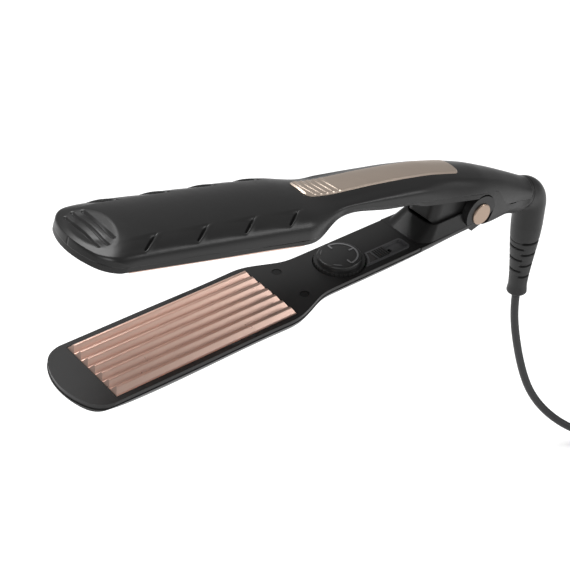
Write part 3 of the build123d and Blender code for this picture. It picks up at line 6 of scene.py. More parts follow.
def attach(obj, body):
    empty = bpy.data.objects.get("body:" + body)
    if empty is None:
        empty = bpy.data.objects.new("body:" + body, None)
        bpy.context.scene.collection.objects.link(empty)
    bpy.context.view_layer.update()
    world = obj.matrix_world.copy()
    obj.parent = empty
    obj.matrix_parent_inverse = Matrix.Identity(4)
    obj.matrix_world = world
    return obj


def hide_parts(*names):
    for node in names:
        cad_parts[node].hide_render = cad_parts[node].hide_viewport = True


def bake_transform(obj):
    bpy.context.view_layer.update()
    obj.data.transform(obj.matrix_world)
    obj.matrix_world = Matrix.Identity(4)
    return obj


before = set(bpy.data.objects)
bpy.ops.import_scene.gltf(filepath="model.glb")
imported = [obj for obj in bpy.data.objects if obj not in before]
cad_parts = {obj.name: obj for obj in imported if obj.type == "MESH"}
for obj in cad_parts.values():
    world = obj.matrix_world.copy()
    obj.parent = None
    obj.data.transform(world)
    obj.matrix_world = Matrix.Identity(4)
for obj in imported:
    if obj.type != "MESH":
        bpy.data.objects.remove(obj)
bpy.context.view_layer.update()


# Camera: stands ahead of the tips on the near side and looks down along the tool, at the angle of
# the photograph. The view rows are its right, up and back in the tool's own axes; the stand is
# measured from the hinge, and the focal length is in pixels of the photograph's frame.
hinge = np.array([0.054, 0.0, -0.030])
view_rows = np.array([[0.7888235, -0.6141322, 0.0244779],
                      [0.3506461, 0.4823826, 0.8027169],
                      [-0.504782, -0.6246188, 0.5958577]])
stand_from_hinge = np.array([-0.4455064, -0.4123773, 0.3896282])
focal_pixels = 1418.2
frame_pixels = 570
sensor_width = 36.0
nearest_seen = 0.01
farthest_seen = 50.0
camera = bpy.data.objects.new("camera", bpy.data.cameras.new("camera"))
bpy.context.scene.collection.objects.link(camera)
camera.data.sensor_width = sensor_width
camera.data.lens = focal_pixels / frame_pixels * sensor_width
camera.data.clip_start = nearest_seen
camera.data.clip_end = farthest_seen
stand = np.eye(4)
stand[:3, :3] = view_rows.T
stand[:3, 3] = hinge + stand_from_hinge
camera.matrix_world = Matrix(stand.tolist())
bpy.context.scene.camera = camera
bpy.context.scene.view_settings.view_transform = "Standard"


# Studio: a pale paper floor under the coil, a surround and three large soft lamps. Rays from the
# camera and through glass see the surround as plain white; all others, gloss too, see it dim.
white = (1, 1, 1, 1)
dim_strength = 0.3
white_strength = 1.0
paper_colour = (0.93, 0.93, 0.93, 1)
paper_glow_strength = 0.25
floor_level = -0.2227
floor_half = 3.0


def add_node(tree, kind, **sockets):
    """A new shader node of this kind, with these plain values on its named input sockets."""
    node = tree.nodes.new("ShaderNode" + kind)
    for socket, value in sockets.items():
        node.inputs[socket].default_value = value
    return node


def light_surround():
    """World whose shader is a mix of the dim and the white one; its factor is the larger of the two
    ray flags, camera and transmission."""
    surround = bpy.data.worlds.new("surround")
    surround.use_nodes = True
    tree = surround.node_tree
    tree.nodes.clear()
    ray = add_node(tree, "LightPath")
    sees_white = add_node(tree, "Math")
    sees_white.operation = "MAXIMUM"
    dim = add_node(tree, "Background", Color=white, Strength=dim_strength)
    plain_white = add_node(tree, "Emission", Color=white, Strength=white_strength)
    mix = add_node(tree, "MixShader")
    out = add_node(tree, "OutputWorld")
    tree.links.new(ray.outputs["Is Camera Ray"], sees_white.inputs[0])
    tree.links.new(ray.outputs["Is Transmission Ray"], sees_white.inputs[1])
    tree.links.new(sees_white.outputs[0], mix.inputs[0])
    tree.links.new(dim.outputs[0], mix.inputs[1])
    tree.links.new(plain_white.outputs[0], mix.inputs[2])
    tree.links.new(mix.outputs[0], out.inputs["Surface"])
    return surround


def pale_paper():
    """Matt paper with a faint glow of its own: the sum of a diffuse and an emission shader."""
    paper = bpy.data.materials.new("pale_paper")
    paper.use_nodes = True
    tree = paper.node_tree
    tree.nodes.clear()
    lit = add_node(tree, "BsdfDiffuse", Color=paper_colour)
    glow = add_node(tree, "Emission", Strength=paper_glow_strength)
    both = add_node(tree, "AddShader")
    out = add_node(tree, "OutputMaterial")
    tree.links.new(lit.outputs[0], both.inputs[0])
    tree.links.new(glow.outputs[0], both.inputs[1])
    tree.links.new(both.outputs[0], out.inputs["Surface"])
    return paper


bpy.context.scene.world = light_surround()
floor_mesh = bpy.data.meshes.new("floor")
floor_corners = [(side * floor_half, end * floor_half, floor_level)
                 for side, end in ((-1, -1), (1, -1), (1, 1), (-1, 1))]
floor_mesh.from_pydata(floor_corners, [], [(0, 1, 2, 3)])
floor_mesh.materials.append(pale_paper())
floor = bpy.data.objects.new("floor", floor_mesh)
bpy.context.scene.collection.objects.link(floor)


def soft_lamp(name, place, aim, size, power):
    """A square area lamp at a place, turned so that it shines on the aim."""
    data = bpy.data.lights.new(name, "AREA")
    data.size = size
    data.energy = power
    lamp = bpy.data.objects.new(name, data)
    bpy.context.scene.collection.objects.link(lamp)
    lamp.location = place
    lamp.rotation_euler = (Vector(aim) - Vector(place)).to_track_quat("-Z", "Y").to_euler()


soft_lamp("lamp_above", place=(-0.1, 0.35, 0.9), aim=(-0.05, 0, 0), size=0.6, power=11.0)
soft_lamp("lamp_near", place=(-0.9, -0.6, 0.45), aim=(-0.05, 0, 0), size=0.5, power=5.0)
soft_lamp("lamp_right", place=(0.7, -0.7, 0.35), aim=(0, 0, -0.05), size=0.4, power=3.0)


# Cord: a round flexible rubber lead, 4.6 mm thick and 1.8 m long, moulded into the boot and the
# plug. It hangs from the boot, turns level over the floor and is wound in a coil of four layers,
# and its end runs up to the plug, which lies on the coil.
cord_diameter = 0.0046
boot_axis_x = 0.10731
boot_end_z = -0.10983
boot_gap = 0.00035
cord_level = hinge[2] - 0.1904
hang_angle = np.radians(-37.9)
hang_heading = np.array([np.cos(hang_angle), np.sin(hang_angle), 0.0])
hang = np.array([(0.0, -0.091), (0.003, -0.1105), (0.0096, -0.136), (0.01775, -0.1558),
                 (0.0311, -0.1723), (0.0487, -0.1842)])
coil_radius = 0.032
coil_pitch = 0.00515
coil_layers = 4
layer_pitch = 0.00505
turns_in_layer = 2.5
coil_turns = 9.75
climb_turns = 0.5
points_a_turn = 16
coil_entry = np.array([hinge[0] + 0.160, -0.0468, cord_level])
coil_middle = coil_entry + [0, coil_radius, 0]
# A hanging point is a distance along the heading and a height from the hinge's level. The last
# three points run level over the floor, half the cord's thickness up, and lead into the coil.
hang_route = np.vstack([[boot_axis_x, 0, boot_end_z - boot_gap],
                        np.array([boot_axis_x, 0, hinge[2]]) + hang[:, :1] * hang_heading
                        + hang[:, 1:] * np.array([0, 0, 1.0]),
                        [hinge[0] + 0.1095, -0.0410, cord_level],
                        [hinge[0] + 0.1328, -0.0468, cord_level],
                        coil_entry - [cord_diameter, 0, 0]])


def coil_route():
    """Points on the coil. The angle runs evenly. The radius is a zigzag that changes by one pitch a
    turn and turns back after each layer. The height rises by one layer, in a smooth step of half
    a turn, at each turn back and once more at the end."""
    turn = np.linspace(0, coil_turns, int(coil_turns * points_a_turn) + 1)
    phase = np.mod(turn, 2 * turns_in_layer)
    radius = coil_radius - coil_pitch * (turns_in_layer - np.abs(turns_in_layer - phase))
    angle = 2 * np.pi * turn - np.pi / 2
    climbs = np.append(turns_in_layer * np.arange(1, coil_layers), coil_turns - climb_turns / 2)
    step = np.clip((turn[:, None] - climbs) / climb_turns + 0.5, 0, 1)
    rise = (step * step * (3 - 2 * step)).sum(axis=1) * layer_pitch
    return coil_middle + np.stack([np.cos(angle) * radius, np.sin(angle) * radius, rise], axis=1)


# The tail is an arc from the coil's last point up to the plug's middle height, then a short level
# run into the plug.
plug_thickness = 0.0137
plug_clearance = 0.0002
tail_bend = 0.014
tail_angles = np.radians([200, 222, 248])
tail_climb = np.array([0.2, 0.5, 0.85])
coil_points = coil_route()
coil_end = coil_points[-1]
plug_level = (cord_level + (coil_layers - 1) * layer_pitch + cord_diameter / 2
              + plug_clearance + plug_thickness / 2)
tail_end = coil_end + [tail_bend, -tail_bend, 0]
tail_end[2] = plug_level
plug_start = tail_end + [cord_diameter, 0, 0]
tail_arc = np.stack([tail_end[0] + tail_bend * np.cos(tail_angles),
                     coil_end[1] + tail_bend * np.sin(tail_angles),
                     coil_end[2] + (plug_level - coil_end[2]) * tail_climb], axis=1)
cord_points = np.vstack([hang_route, coil_points, tail_arc, tail_end, plug_start])


def smooth_route(points, resolution):
    """The points along a quadratic NURBS spline with these control points, end points kept."""
    curve = bpy.data.curves.new("route", "CURVE")
    curve.dimensions = "3D"
    spline = curve.splines.new("NURBS")
    spline.points.add(len(points) - 1)
    spline.points.foreach_set("co", np.hstack([points, np.ones((len(points), 1))]).ravel())
    spline.order_u = 3
    spline.use_endpoint_u = True
    spline.resolution_u = resolution
    line = bpy.data.objects.new("route", curve)
    bpy.context.scene.collection.objects.link(line)
    bpy.context.view_layer.update()
    mesh = bpy.data.meshes.new_from_object(line)
    places = np.empty(len(mesh.vertices) * 3)
    mesh.vertices.foreach_get("co", places)
    bpy.data.objects.remove(line)
    bpy.data.curves.remove(curve)
    bpy.data.meshes.remove(mesh)
    return places.reshape(-1, 3)


def grid_piece(name, grid, tube=False):
    """Mesh of a grid of points (rows, columns, 3): quads between neighbours, shaded smooth. A tube is
    also closed from its last column to its first, and its first and last rows are filled."""
    rows, columns = grid.shape[:2]
    number = np.arange(rows * columns).reshape(rows, columns)
    closed = np.hstack([number, number[:, :1]]) if tube else number
    quads = np.stack([closed[:-1, :-1], closed[:-1, 1:], closed[1:, 1:], closed[1:, :-1]], axis=-1)
    faces = quads.reshape(-1, 4).tolist()
    if tube:
        faces += [number[0, ::-1].tolist(), number[-1].tolist()]
    mesh = bpy.data.meshes.new(name)
    mesh.from_pydata(grid.reshape(-1, 3).tolist(), [], faces)
    mesh.shade_smooth()
    piece = bpy.data.objects.new(name, mesh)
    bpy.context.scene.collection.objects.link(piece)
    return piece


def tube_along(name, path, radius, sides):
    """Tube whose rings stand square to the path, kept from twisting: each ring's first direction is
    the one before it, less its part along the path. The first comes from any slanted direction."""
    slanted = [0.3, 0.9, 0.1]
    way = np.gradient(path, axis=0)
    way /= np.linalg.norm(way, axis=1, keepdims=True)
    first = np.empty_like(path)
    start = np.cross(way[0], slanted)
    first[0] = start / np.linalg.norm(start)
    for place in range(1, len(path)):
        turned = first[place - 1] - way[place] * (first[place - 1] @ way[place])
        first[place] = turned / np.linalg.norm(turned)
    second = np.cross(way, first)
    angle = np.linspace(0, 2 * np.pi, sides, endpoint=False)[None, :, None]
    ring = np.cos(angle) * first[:, None] + np.sin(angle) * second[:, None]
    return grid_piece(name, path[:, None] + ring * radius, tube=True)


def object_noise(tree, scale, detail):
    """Noise with this many patches a metre, read from the piece's own coordinates."""
    place = add_node(tree, "TexCoord")
    noise = add_node(tree, "TexNoise", Scale=scale, Detail=detail)
    tree.links.new(place.outputs["Object"], noise.inputs["Vector"])
    return noise.outputs["Fac"]


def plain_finish(name, colour, roughness, metallic=0.0, grain=0.0, grain_size=0.0004, mottling=0.08,
                 gloss=0.5):
    """Moulded or metal surface. A slow noise moves the colour up and down by the mottling's share, a
    middle one moves the roughness, and a fine one stands out as a grain of the given size."""
    slow_patches = 45.0
    middle_patches = 260.0
    roughness_swing = 0.06
    least_roughness = 0.02
    grain_relief = 0.15
    material = bpy.data.materials.new(name)
    material.use_nodes = True
    tree = material.node_tree
    shader = tree.nodes["Principled BSDF"]
    tone = tree.nodes.new("ShaderNodeMix")
    tone.data_type = "RGBA"
    tone.inputs["A"].default_value = tuple(c * (1 - mottling) for c in colour) + (1,)
    tone.inputs["B"].default_value = tuple(min(1, c * (1 + mottling)) for c in colour) + (1,)
    tree.links.new(object_noise(tree, slow_patches, 3.0), tone.inputs["Factor"])
    tree.links.new(tone.outputs["Result"], shader.inputs["Base Color"])
    spread = add_node(tree, "MapRange")
    spread.inputs["To Min"].default_value = max(least_roughness, roughness - roughness_swing)
    spread.inputs["To Max"].default_value = roughness + roughness_swing
    tree.links.new(object_noise(tree, middle_patches, 4.0), spread.inputs["Value"])
    tree.links.new(spread.outputs["Result"], shader.inputs["Roughness"])
    shader.inputs["Metallic"].default_value = metallic
    shader.inputs["Specular IOR Level"].default_value = gloss
    if grain:
        bump = add_node(tree, "Bump", Strength=grain, Distance=grain_size * grain_relief)
        tree.links.new(object_noise(tree, 1 / grain_size, 2.0), bump.inputs["Height"])
        tree.links.new(bump.outputs["Normal"], shader.inputs["Normal"])
    return material


cord_path = smooth_route(cord_points, resolution=6)
cord = tube_along("mains_cord", cord_path, cord_diameter / 2, sides=20)
cord.data.materials.append(plain_finish("cord_rubber", (0.02, 0.02, 0.021), roughness=0.5, grain=0.25,
                                        grain_size=0.0005, gloss=0.35))
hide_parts("cord_stretch", "cord_coil")
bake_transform(cord)


# Plug: a flat body of rubber moulded on the cord's end, with two pins of plated brass held in it.
# Both keep their CAD shape.
def dress(node_names, material):
    """Gives CAD nodes this material in every slot they have."""
    for node_name in node_names:
        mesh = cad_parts[node_name].data
        if not mesh.materials:
            mesh.materials.append(material)
        for slot in range(len(mesh.materials)):
            mesh.materials[slot] = material


dress(["plug_body"], plain_finish("plug_moulding", (0.02, 0.02, 0.02), roughness=0.45, grain=0.3,
                                  grain_size=0.0006))
dress(["plug_pins"], plain_finish("plated_brass", (0.72, 0.6, 0.38), roughness=0.25, metallic=1.0,
                                  mottling=0.03))


# Ridged plates: pressed aluminium with a satin rose gold ceramic coat, each clipped into a carrier
# of dark heat-proof resin that is screwed into its arm.
dress(["upper_plate", "lower_plate"],
      plain_finish("rose_gold_coat", (0.66, 0.46, 0.385), roughness=0.3, metallic=0.8, mottling=0.03,
                   grain=0.03, grain_size=0.0003))
dress(["upper_plate_carrier", "lower_plate_carrier"],
      plain_finish("heat_resin", (0.03, 0.028, 0.026), roughness=0.55, grain=0.3))


# Parts inside the arms: ceramic heaters pressed on the plates by steel clips, the steel screws and
# hinge parts, the glass beads of the sensor and the fuse, and the leads in dark red sleeves.
dress(["upper_heater", "lower_heater"],
      plain_finish("heater_ceramic", (0.75, 0.72, 0.66), roughness=0.6, grain=0.3, grain_size=0.0002))
dress(["upper_heater_clip", "lower_heater_clip", "upper_plate_screws", "lower_plate_screws",
       "hinge_pin", "return_spring", "dial_shaft", "slide_switch", "board_screws"],
      plain_finish("bare_steel", (0.5, 0.5, 0.5), roughness=0.28, metallic=1.0, mottling=0.04))
dress(["temperature_sensor", "thermal_fuse"],
      plain_finish("bead_glass", (0.7, 0.6, 0.45), roughness=0.12))
dress(["upper_wires", "lower_wires"],
      plain_finish("lead_cover", (0.3, 0.02, 0.02), roughness=0.5))


# Shells: both arms' covers are moulded in a charcoal plastic with a fine satin gloss, and snapped
# together at the seam. The inner covers, the swivel with its clamp and the potentiometer's case
# are the same plastic, a little duller.
charcoal = plain_finish("charcoal_shell", (0.0115, 0.0113, 0.0113), roughness=0.34, grain=0.2,
                        grain_size=0.00035, gloss=0.3)
dress(["lower_outer_shell"], charcoal)
dress(["upper_inner_shell", "lower_inner_shell", "swivel_collar", "swivel_elbow",
       "cord_clamp", "potentiometer"],
      plain_finish("charcoal_face", (0.0115, 0.0112, 0.0112), roughness=0.4, grain=0.22,
                   grain_size=0.00035, gloss=0.3))


# Upper cover: one moulding of the charcoal plastic from the rounded tip to the neck, closed on the
# inner cover along a seam. Its deck is crowned, its sides have four slanted gills each, and the
# tip has a scoop with three slots. Its sizes are in mm from the hinge, with the tip at minus x.
lean = np.radians(15.9)
reach = 233.5
barrel_half = 23.5
handle_half = 15.3
neck_radius = 8.6
shoulder_run = (-124.5, -96.5)
neck_taper = (-12, 48.5)
neck_run = (0, 44.5)
tip_rear = -217.0
front_arc_radius = 38.32
front_arc_run = 3.5
corner_front_half = 16
corner_power = 2.95
cover_wall = 0.0012


def ease_between(x, start, end):
    """Smooth step: 3 t squared less 2 t cubed, with t running from 0 at start to 1 at end."""
    t = np.clip((x - start) / (end - start), 0, 1)
    return t * t * (3 - 2 * t)


def side_half(x):
    """Half width without the tip: the barrel's, eased to the handle's at the shoulder and then to
    the neck's radius behind the hinge."""
    half = barrel_half + (handle_half - barrel_half) * ease_between(x, *shoulder_run)
    return half - (handle_half - neck_radius) * ease_between(x, *neck_taper)


def tip_half(x):
    """Half width at the tip: the half chord of the front arc, then a corner that widens to the
    barrel by one less a power of the share of its run that is left."""
    ahead = np.clip(x + reach, 0, front_arc_run)
    arc = np.sqrt(np.maximum(front_arc_radius ** 2 - (front_arc_radius - ahead) ** 2, 0))
    corner_run = tip_rear + reach - front_arc_run
    left = 1 - np.clip((x + reach - front_arc_run) / corner_run, 0, 1)
    corner = corner_front_half + (barrel_half - corner_front_half) * (1 - left ** corner_power)
    return np.where(x < front_arc_run - reach, arc, corner)


def cover_half(x):
    """Half width: the tip's where that is less, and behind the tip the side's."""
    return np.where(x < tip_rear, np.minimum(side_half(x), tip_half(x)), side_half(x))


# Heights along the arm's middle line, as points of x and z, and the levels under it.
crown_line = np.array([(-236.5, 3.4), (-230.5, 6.4), (-224.5, 9.9), (-217.5, 11.7), (-207.5, 12.7),
                       (-172, 14.6), (-140, 16.2), (-125, 16.5), (-113, 16.2), (-104, 16.5),
                       (-94, 17.6), (-78, 19.4), (-56, 21.2), (-38, 22.0), (-20, 21.4), (0, 19.6),
                       (17, 16.6), (33, 13.0), (44.5, 10.1)])
crown_range = (-240.0, 50.0)
crown_step = 0.5
crown_blur = 3.0
blur_steps = 16
face_rear = -120.9
face_level = 1.02
face_tilt = 0.0205
underside_run = (-119.0, -91.0)
underside_level = 8.6
seam_rise = 2.5
seam_drop_run = (8, 24)
neck_middle = 1.5
belly_run = (-50, -20)
belly_level = -7.8


def crown_height(x):
    """The crown line, smoothed by a bell curve: e to the minus half of the square of the distance
    over the blur."""
    fine = np.arange(*crown_range, crown_step)
    raw = np.interp(fine, crown_line[:, 0], crown_line[:, 1])
    weight = np.exp(-0.5 * (np.arange(-blur_steps, blur_steps + 1) * crown_step / crown_blur) ** 2)
    padded = np.pad(raw, blur_steps, mode="reflect", reflect_type="odd")
    return np.interp(x, fine, np.convolve(padded, weight / weight.sum(), mode="valid"))


def underside_height(x):
    """The tilted inner face of the barrel, eased up to the handle's underside."""
    face = face_level + np.minimum(x - face_rear, 0) * face_tilt
    return face + (underside_level - face) * ease_between(x, *underside_run)


def seam_height(x):
    """The seam: a little over the underside, eased to the neck's middle behind the hinge."""
    seam = underside_height(x) + seam_rise
    return seam + (neck_middle - seam) * ease_between(x, *seam_drop_run)


def belly_height(x):
    """The belly: the underside, eased down to the belly's level at the knuckle and then to the
    neck's own underside."""
    under = underside_height(x)
    belly = under + (belly_level - under) * ease_between(x, *belly_run)
    return belly + (neck_middle - neck_radius - belly_level) * ease_between(x, *neck_run)


# The cover's cross section: a crowned deck over the middle share of the width, and from its edge a
# curve down to the top of the upright side, which stands on a rounded lower edge.
deck_share = 0.64
deck_drop = 2.0
deck_pull = 0.5
side_pull = 0.6
edge_rounding = 0.6
edge_handle_gain = 1.9
edge_neck_gain = 4.3
upright_share = 0.3
upright_neck_gain = 0.1
curve_steps = 40


def cover_top(x, y):
    """Height of the cover over y (rows, columns) at x (rows, 1). On the deck it is the crown less
    the drop times the square of y over the deck's half; outside it, a cubic curve whose four
    control points run from the deck's edge, along its slope, to the side and its top."""
    half = side_half(x)
    crown = crown_height(x)
    belly = belly_height(x)
    rounding = (edge_rounding + edge_handle_gain * ease_between(x, *shoulder_run)
                + edge_neck_gain * ease_between(x, *neck_run))
    upright = upright_share + upright_neck_gain * ease_between(x, *neck_run)
    side = belly + rounding + upright * (crown - belly - rounding)
    deck_half = deck_share * half
    deck = crown - deck_drop
    slope = 2 * deck_drop * deck_half / (deck_half ** 2 - deck_drop ** 2)
    beyond = deck_pull * (half - deck_half)
    across = np.hstack([half, half, deck_half + beyond, deck_half])
    up = np.hstack([side, side + side_pull * (deck - side), deck - slope * beyond, deck])
    t = np.linspace(1, 0, curve_steps)
    weight = np.stack([(1 - t) ** 3, 3 * t * (1 - t) ** 2, 3 * t ** 2 * (1 - t), t ** 3])
    outer = np.array([np.interp(row_y, row_across @ weight, row_up @ weight)
                      for row_y, row_across, row_up in zip(np.abs(y), across, up)])
    inner = crown - deck_drop * (y / deck_half) ** 2
    return np.where(np.abs(y) < deck_half, inner, outer)


# Gills and tip. Along a gill's slit runs a share, from 0 at its outer end to 1 at its inner one.
gill_fronts = (-209.0, -183.0, -158.0, -133.5)
gill_outer_y = 20.4
gill_width = 4.4
gill_slant = 6.0
hollow_depth = 1.3
hollow_fade = 6.5
hollow_edge = 0.3
hollow_starts = (-0.55, 0.15)
hollow_ends = (0.85, 1.35)
groove_depth = 1.6
groove_ahead = 0.9
groove_half = 0.6
groove_starts = (-0.25, 0.1)
groove_ends = (0.8, 1.1)
lip_height = 0.3
lip_behind = 1.4
lip_half = 1.3
scoop_x = -223.8
scoop_length_half = 8.2
scoop_width_half = 17.0
scoop_depth = 1.3
scoop_rim = (0.5, 1.0)
tip_slots = ((-220.4, 12.5), (-224.0, 14.6), (-227.6, 13.5))
tip_slot_depth = 0.9
tip_slot_half = 0.45
tip_slot_end = 1.2


def bell(distance, half, power=2):
    """e to the minus given power of the distance over the half width: 1 on the line, 0 far off."""
    return np.exp(-(distance / half) ** power)


def gills_and_scoop(x, y):
    """Depth cut into the cover at x (rows, 1) and y (rows, columns). A gill is a hollow that fades
    ahead of its slit, a bell-shaped groove at the slit and a low lip behind it. The scoop is an
    oval smooth step, and each slot across it a flat-bottomed bell that fades at its ends."""
    depth = np.zeros_like(y)
    out = np.abs(y)
    for front in gill_fronts:
        along = (gill_outer_y - out) / gill_width
        ahead = front + gill_slant * along - x
        width = ease_between(along, *hollow_starts) * (1 - ease_between(along, *hollow_ends))
        hollow = (hollow_depth * np.exp(-np.clip(ahead, 0, None) / hollow_fade)
                  * ease_between(ahead, -hollow_edge, hollow_edge))
        groove = (groove_depth * bell(ahead - groove_ahead, groove_half)
                  * ease_between(along, *groove_starts) * (1 - ease_between(along, *groove_ends)))
        lip = -lip_height * bell(ahead + lip_behind, lip_half)
        depth += (hollow + lip) * width + groove
    from_middle = np.sqrt(((x - scoop_x) / scoop_length_half) ** 2 + (y / scoop_width_half) ** 2)
    depth += scoop_depth * (1 - ease_between(from_middle, *scoop_rim))
    for slot_x, slot_reach in tip_slots:
        inside = 1 - ease_between(out, slot_reach - tip_slot_end, slot_reach)
        depth += tip_slot_depth * bell(x - slot_x, tip_slot_half, 4) * inside
    return depth


def upper_to_row(points):
    """From the upper arm's own axes, in mm, to the frame's, in metres: turned about the hinge so
    that the tip goes up by the lean."""
    rearward = np.array([np.cos(lean), 0, -np.sin(lean)])
    up = np.array([np.sin(lean), 0, np.cos(lean)])
    points = points / 1000
    return hinge + points[..., :1] * rearward + points[..., 1:2] * [0, 1.0, 0] + points[..., 2:] * up


def give_wall(piece, thickness):
    """Thickens a surface inwards into a wall."""
    wall = piece.modifiers.new("wall", "SOLIDIFY")
    wall.thickness = thickness
    wall.offset = -1


# The cover's rows lie closest at the tip, and its columns closest at the sides.
tip_row_count = 60
tip_crowding = 1.7
barrel_front = -216.6
barrel_row_pitch = 0.45
barrel_rear = -122
handle_row_pitch = 0.95
cover_rear = 44.48
column_count = 190
column_spread = 0.985
side_steps = 12
probe_count = 200
seam_clearance = 0.15
least_half = 0.02
tip_edge_width = 1.3
tip_edge_drop = 1.3
tip_edge_steepest = 0.96
tip_edge_run = (-222, -214)


def half_above_seam(x):
    """Half width of each row, cut back to the widest place where the cover is over the seam."""
    half = np.maximum(cover_half(x), least_half)
    probe_y = half[:, None] * np.linspace(0, 1, probe_count)
    above = cover_top(x[:, None], probe_y) >= seam_height(x)[:, None] + seam_clearance
    return np.maximum(np.where(above, probe_y, 0).max(axis=1), least_half)


def cover_deck(x, half):
    """The top: y is the half width times the sine of an even angle, z the cover's height less the
    cuts, and at the tip less a quarter round along the edge."""
    even = np.linspace(-1, 1, column_count)
    y = half * (np.sin(even * np.pi / 2 * column_spread) / np.sin(np.pi / 2 * column_spread))
    edge = np.clip((np.abs(y) - (half - tip_edge_width)) / tip_edge_width, 0, 1)
    tip_edge = 1 - ease_between(x, *tip_edge_run)
    z = (cover_top(x, y) - gills_and_scoop(x, y)
         - tip_edge_drop * (1 - np.sqrt(1 - tip_edge_steepest * edge ** 2)) * tip_edge)
    return np.stack([np.broadcast_to(x, y.shape), y, z], axis=2)


def cover_side(x, y, edge_z):
    """One side: x and y stay, and z runs evenly from the seam up to the top's edge."""
    seam = seam_height(x)
    z = seam + (edge_z - seam) * np.linspace(0, 1, side_steps)
    return np.stack([np.broadcast_to(x, z.shape), np.broadcast_to(y, z.shape), z], axis=2)


tip_rows = -reach + (reach + tip_rear) * np.linspace(0, 1, tip_row_count) ** tip_crowding
barrel_rows = np.arange(barrel_front, barrel_rear, barrel_row_pitch)
handle_rows = np.arange(barrel_rear, cover_rear, handle_row_pitch)
cover_rows = np.concatenate([tip_rows, barrel_rows, handle_rows, [cover_rear]])
row_x = cover_rows[:, None]
row_half = half_above_seam(cover_rows)[:, None]
deck_points = cover_deck(row_x, row_half)
near_side = cover_side(row_x, -row_half, deck_points[:, :1, 2])
far_side = cover_side(row_x, row_half, deck_points[:, -1:, 2])[:, ::-1]
cover_points = np.concatenate([near_side[:, :-1], deck_points, far_side[:, 1:]], axis=1)
cover = grid_piece("upper_cover", upper_to_row(cover_points[:, ::-1]))
give_wall(cover, cover_wall)
cover.data.materials.append(charcoal)
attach(cover, "upper_arm")
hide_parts("upper_outer_shell")


# Trim along the upper handle: a thin champagne-coloured metal strip with bevelled edges and five
# raised ribs at its front end, snapped into the cover. Its sizes are in mm, as the cover's are.
trim_front = -116.0
trim_rear = -17.0
trim_half = 7.3
trim_least_half = 0.05
trim_corner = 3.5
trim_stand = 0.75
trim_settle = 0.05
trim_rows = 420
trim_columns = 60
bevel_width = 0.9
bevel_drop = 0.55
rib_first = 3.2
rib_pitch = 3.7
rib_bow = 0.035
rib_slant = 0.12
rib_height = 0.3
rib_fullness = 0.7
rib_range = (-0.3, 4.3)
rib_fade = (0.3, 1.2)
trim_wall = 0.001


def trim_surface():
    """Top of the strip: rows lie closest at the ends, by a cosine, and columns at the sides, by a
    sine. The corners are quarter rounds. The height is the cover's, plus the stand, less a bevel
    that grows evenly towards the rim, plus ribs that are a power of a cosine's upper half."""
    x = trim_front + (trim_rear - trim_front) * (1 - np.cos(np.linspace(0, np.pi, trim_rows))) / 2
    end_gap = np.minimum(x - trim_front, trim_rear - x)
    into_corner = np.clip(trim_corner - end_gap, 0, trim_corner)
    corner_cut = trim_corner - np.sqrt(np.maximum(trim_corner ** 2 - into_corner ** 2, 0))
    half = np.maximum(trim_half - corner_cut, trim_least_half)[:, None]
    y = half * np.sin(np.linspace(-1, 1, trim_columns) * np.pi / 2)
    x = x[:, None]
    edge_gap = np.minimum(half - np.abs(y), end_gap[:, None])
    bevel = bevel_drop * (1 - np.clip(edge_gap / bevel_width, 0, 1))
    rib_place = (x - rib_bow * y ** 2 + rib_slant * y - (trim_front + rib_first)) / rib_pitch
    rib = np.clip(np.cos(2 * np.pi * rib_place), 0, 1) ** rib_fullness
    rib *= (rib_place > rib_range[0]) * (rib_place < rib_range[1])
    rib *= ease_between(edge_gap, *rib_fade)
    z = cover_top(x, y) + trim_stand - bevel + rib_height * rib - trim_settle
    return np.stack([np.broadcast_to(x, y.shape), y, z], axis=2)


trim = grid_piece("handle_trim", upper_to_row(trim_surface()[:, ::-1]))
give_wall(trim, trim_wall)
trim.data.materials.append(plain_finish("champagne_trim", (0.52, 0.43, 0.36), roughness=0.32,
                                        metallic=0.8, mottling=0.04))
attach(trim, "upper_arm")
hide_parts("handle_inlay")


# Hinge: two bronze-coloured metal discs cap the pin's ends in the lower arm's ears. Inside, nylon
# washers keep the ears off the knuckle.
dress(["hinge_caps"], plain_finish("bronze_cap", (0.36, 0.27, 0.21), roughness=0.3, metallic=0.9,
                                   mottling=0.04))
dress(["hinge_washers"], plain_finish("nylon_washer", (0.7, 0.7, 0.66), roughness=0.5))


# Dial: a soft black moulded knob pressed on the potentiometer's shaft. Its raised marks are pale
# grey: they stand a third of a millimetre over its face, which is level with the hinge's axis.
dial_colour = (0.018, 0.018, 0.018)
mark_colour = (0.16, 0.16, 0.165, 1)
mark_foot = hinge[2] + 0.0001


def marked_dial():
    """The dial's finish, with the marks' colour on all that is higher than the marks' foot."""
    finish = plain_finish("dial_soft_black", dial_colour, roughness=0.36, grain=0.3,
                          grain_size=0.0003, gloss=0.4)
    tree = finish.node_tree
    base_colour = tree.nodes["Principled BSDF"].inputs["Base Color"]
    place = add_node(tree, "TexCoord")
    axes = add_node(tree, "SeparateXYZ")
    raised = add_node(tree, "Math")
    raised.operation = "GREATER_THAN"
    raised.inputs[1].default_value = mark_foot
    marked = tree.nodes.new("ShaderNodeMix")
    marked.data_type = "RGBA"
    marked.inputs["B"].default_value = mark_colour
    tree.links.new(place.outputs["Object"], axes.inputs[0])
    tree.links.new(axes.outputs["Z"], raised.inputs[0])
    tree.links.new(raised.outputs[0], marked.inputs["Factor"])
    tree.links.new(base_colour.links[0].from_socket, marked.inputs["A"])
    tree.links.new(marked.outputs["Result"], base_colour)
    return finish


dress(["dial_knob"], marked_dial())


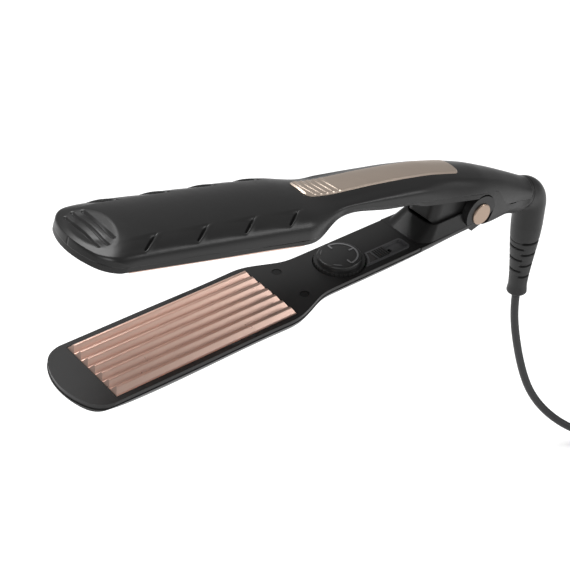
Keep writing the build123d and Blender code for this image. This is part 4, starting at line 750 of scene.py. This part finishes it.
# Slide switch and window: a soft black knob slides in a satin frame beside a smoked lens, with the
# green control board and its red lamp behind. Two dark screws hold the face to the lower arm.
dress(["slide_knob"], plain_finish("soft_black", (0.022, 0.022, 0.022), roughness=0.38, grain=0.3,
                                   grain_size=0.0003))
dress(["window_frame"], plain_finish("satin_frame", (0.085, 0.085, 0.088), roughness=0.3, metallic=0.4))
dress(["lamp_lens"], plain_finish("smoked_lens", (0.012, 0.010, 0.010), roughness=0.1, mottling=0.02))
dress(["control_board"], plain_finish("board_green", (0.02, 0.11, 0.05), roughness=0.4))
dress(["indicator_led"], plain_finish("red_lamp", (0.7, 0.06, 0.04), roughness=0.2))
dress(["face_screws"], plain_finish("dark_screw", (0.012, 0.012, 0.012), roughness=0.5, metallic=0.4,
                                    gloss=0.2))


# Boot: a ribbed rubber sleeve, moulded on the cord, that keeps it from kinking under the swivel
# elbow. It tapers, with a fine ring round its top and short slots that lie on two sides in turn.
# Its sizes are in mm, measured down from its top.
boot_start = 0.02
boot_length = 46.0
boot_taper = (-4, 0.95 * boot_length)
boot_top_radius = neck_radius
boot_end_radius = 5.2
end_flare = 0.5
end_flare_run = 6
end_rounding = 0.9
end_rounding_depth = 0.7
end_rounding_share = 0.99
ring_depth = 0.35
ring_half = 0.35
ring_down = 9.6
slot_pitch = 7.8
slot_half = 0.62
boot_rows = 330
boot_columns = 120
# Per row of slots: the wave round the boot that it lies on and between which of its heights it
# comes to its depth, the depth, how far down the first slot is, and how many there are.
slot_rows = ((np.sin, (0.5, 0.72), 1.2, 9.6, 4), (np.cos, (0.6, 0.8), 1.1, 13.5, 3))


def boot_surface():
    """Rings down the boot, bottom row first. The radius eases from the top's to the end's, with a
    small flare; off it come the ring, the slots and a quarter round at the end. A slot is a
    flat-bottomed bell along the boot, as deep as the sine or cosine of the angle lets it be."""
    down = np.linspace(boot_start, boot_length, boot_rows)[:, None]
    angle = np.linspace(0, 2 * np.pi, boot_columns, endpoint=False)[None, :]
    radius = boot_top_radius - (boot_top_radius - boot_end_radius) * ease_between(down, *boot_taper)
    radius = radius + end_flare * ease_between(down, boot_length - end_flare_run, boot_length)
    cut = ring_depth * bell(down - ring_down, ring_half)
    for wave, fade, depth, first, count in slot_rows:
        facing = ease_between(np.abs(wave(angle)), *fade)
        for number in range(count):
            cut = cut + depth * facing * bell(down - first - number * slot_pitch, slot_half, 4)
    into_round = np.clip((down - boot_length + end_rounding) / end_rounding, 0, end_rounding_share)
    end_round = end_rounding_depth * (1 - np.sqrt(1 - into_round ** 2))
    ring = (radius - cut - end_round) / 1000
    height = np.broadcast_to(boot_end_z + (boot_length - down) / 1000, ring.shape)
    points = np.stack([boot_axis_x + ring * np.cos(angle), ring * np.sin(angle), height], axis=2)
    return points[::-1]


boot = grid_piece("ribbed_boot", boot_surface(), tube=True)
boot.data.materials.append(plain_finish("boot_rubber", (0.014, 0.014, 0.014), roughness=0.48,
                                        grain=0.3, grain_size=0.0005, gloss=0.3))
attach(boot, "swivel")
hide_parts("cord_boot")
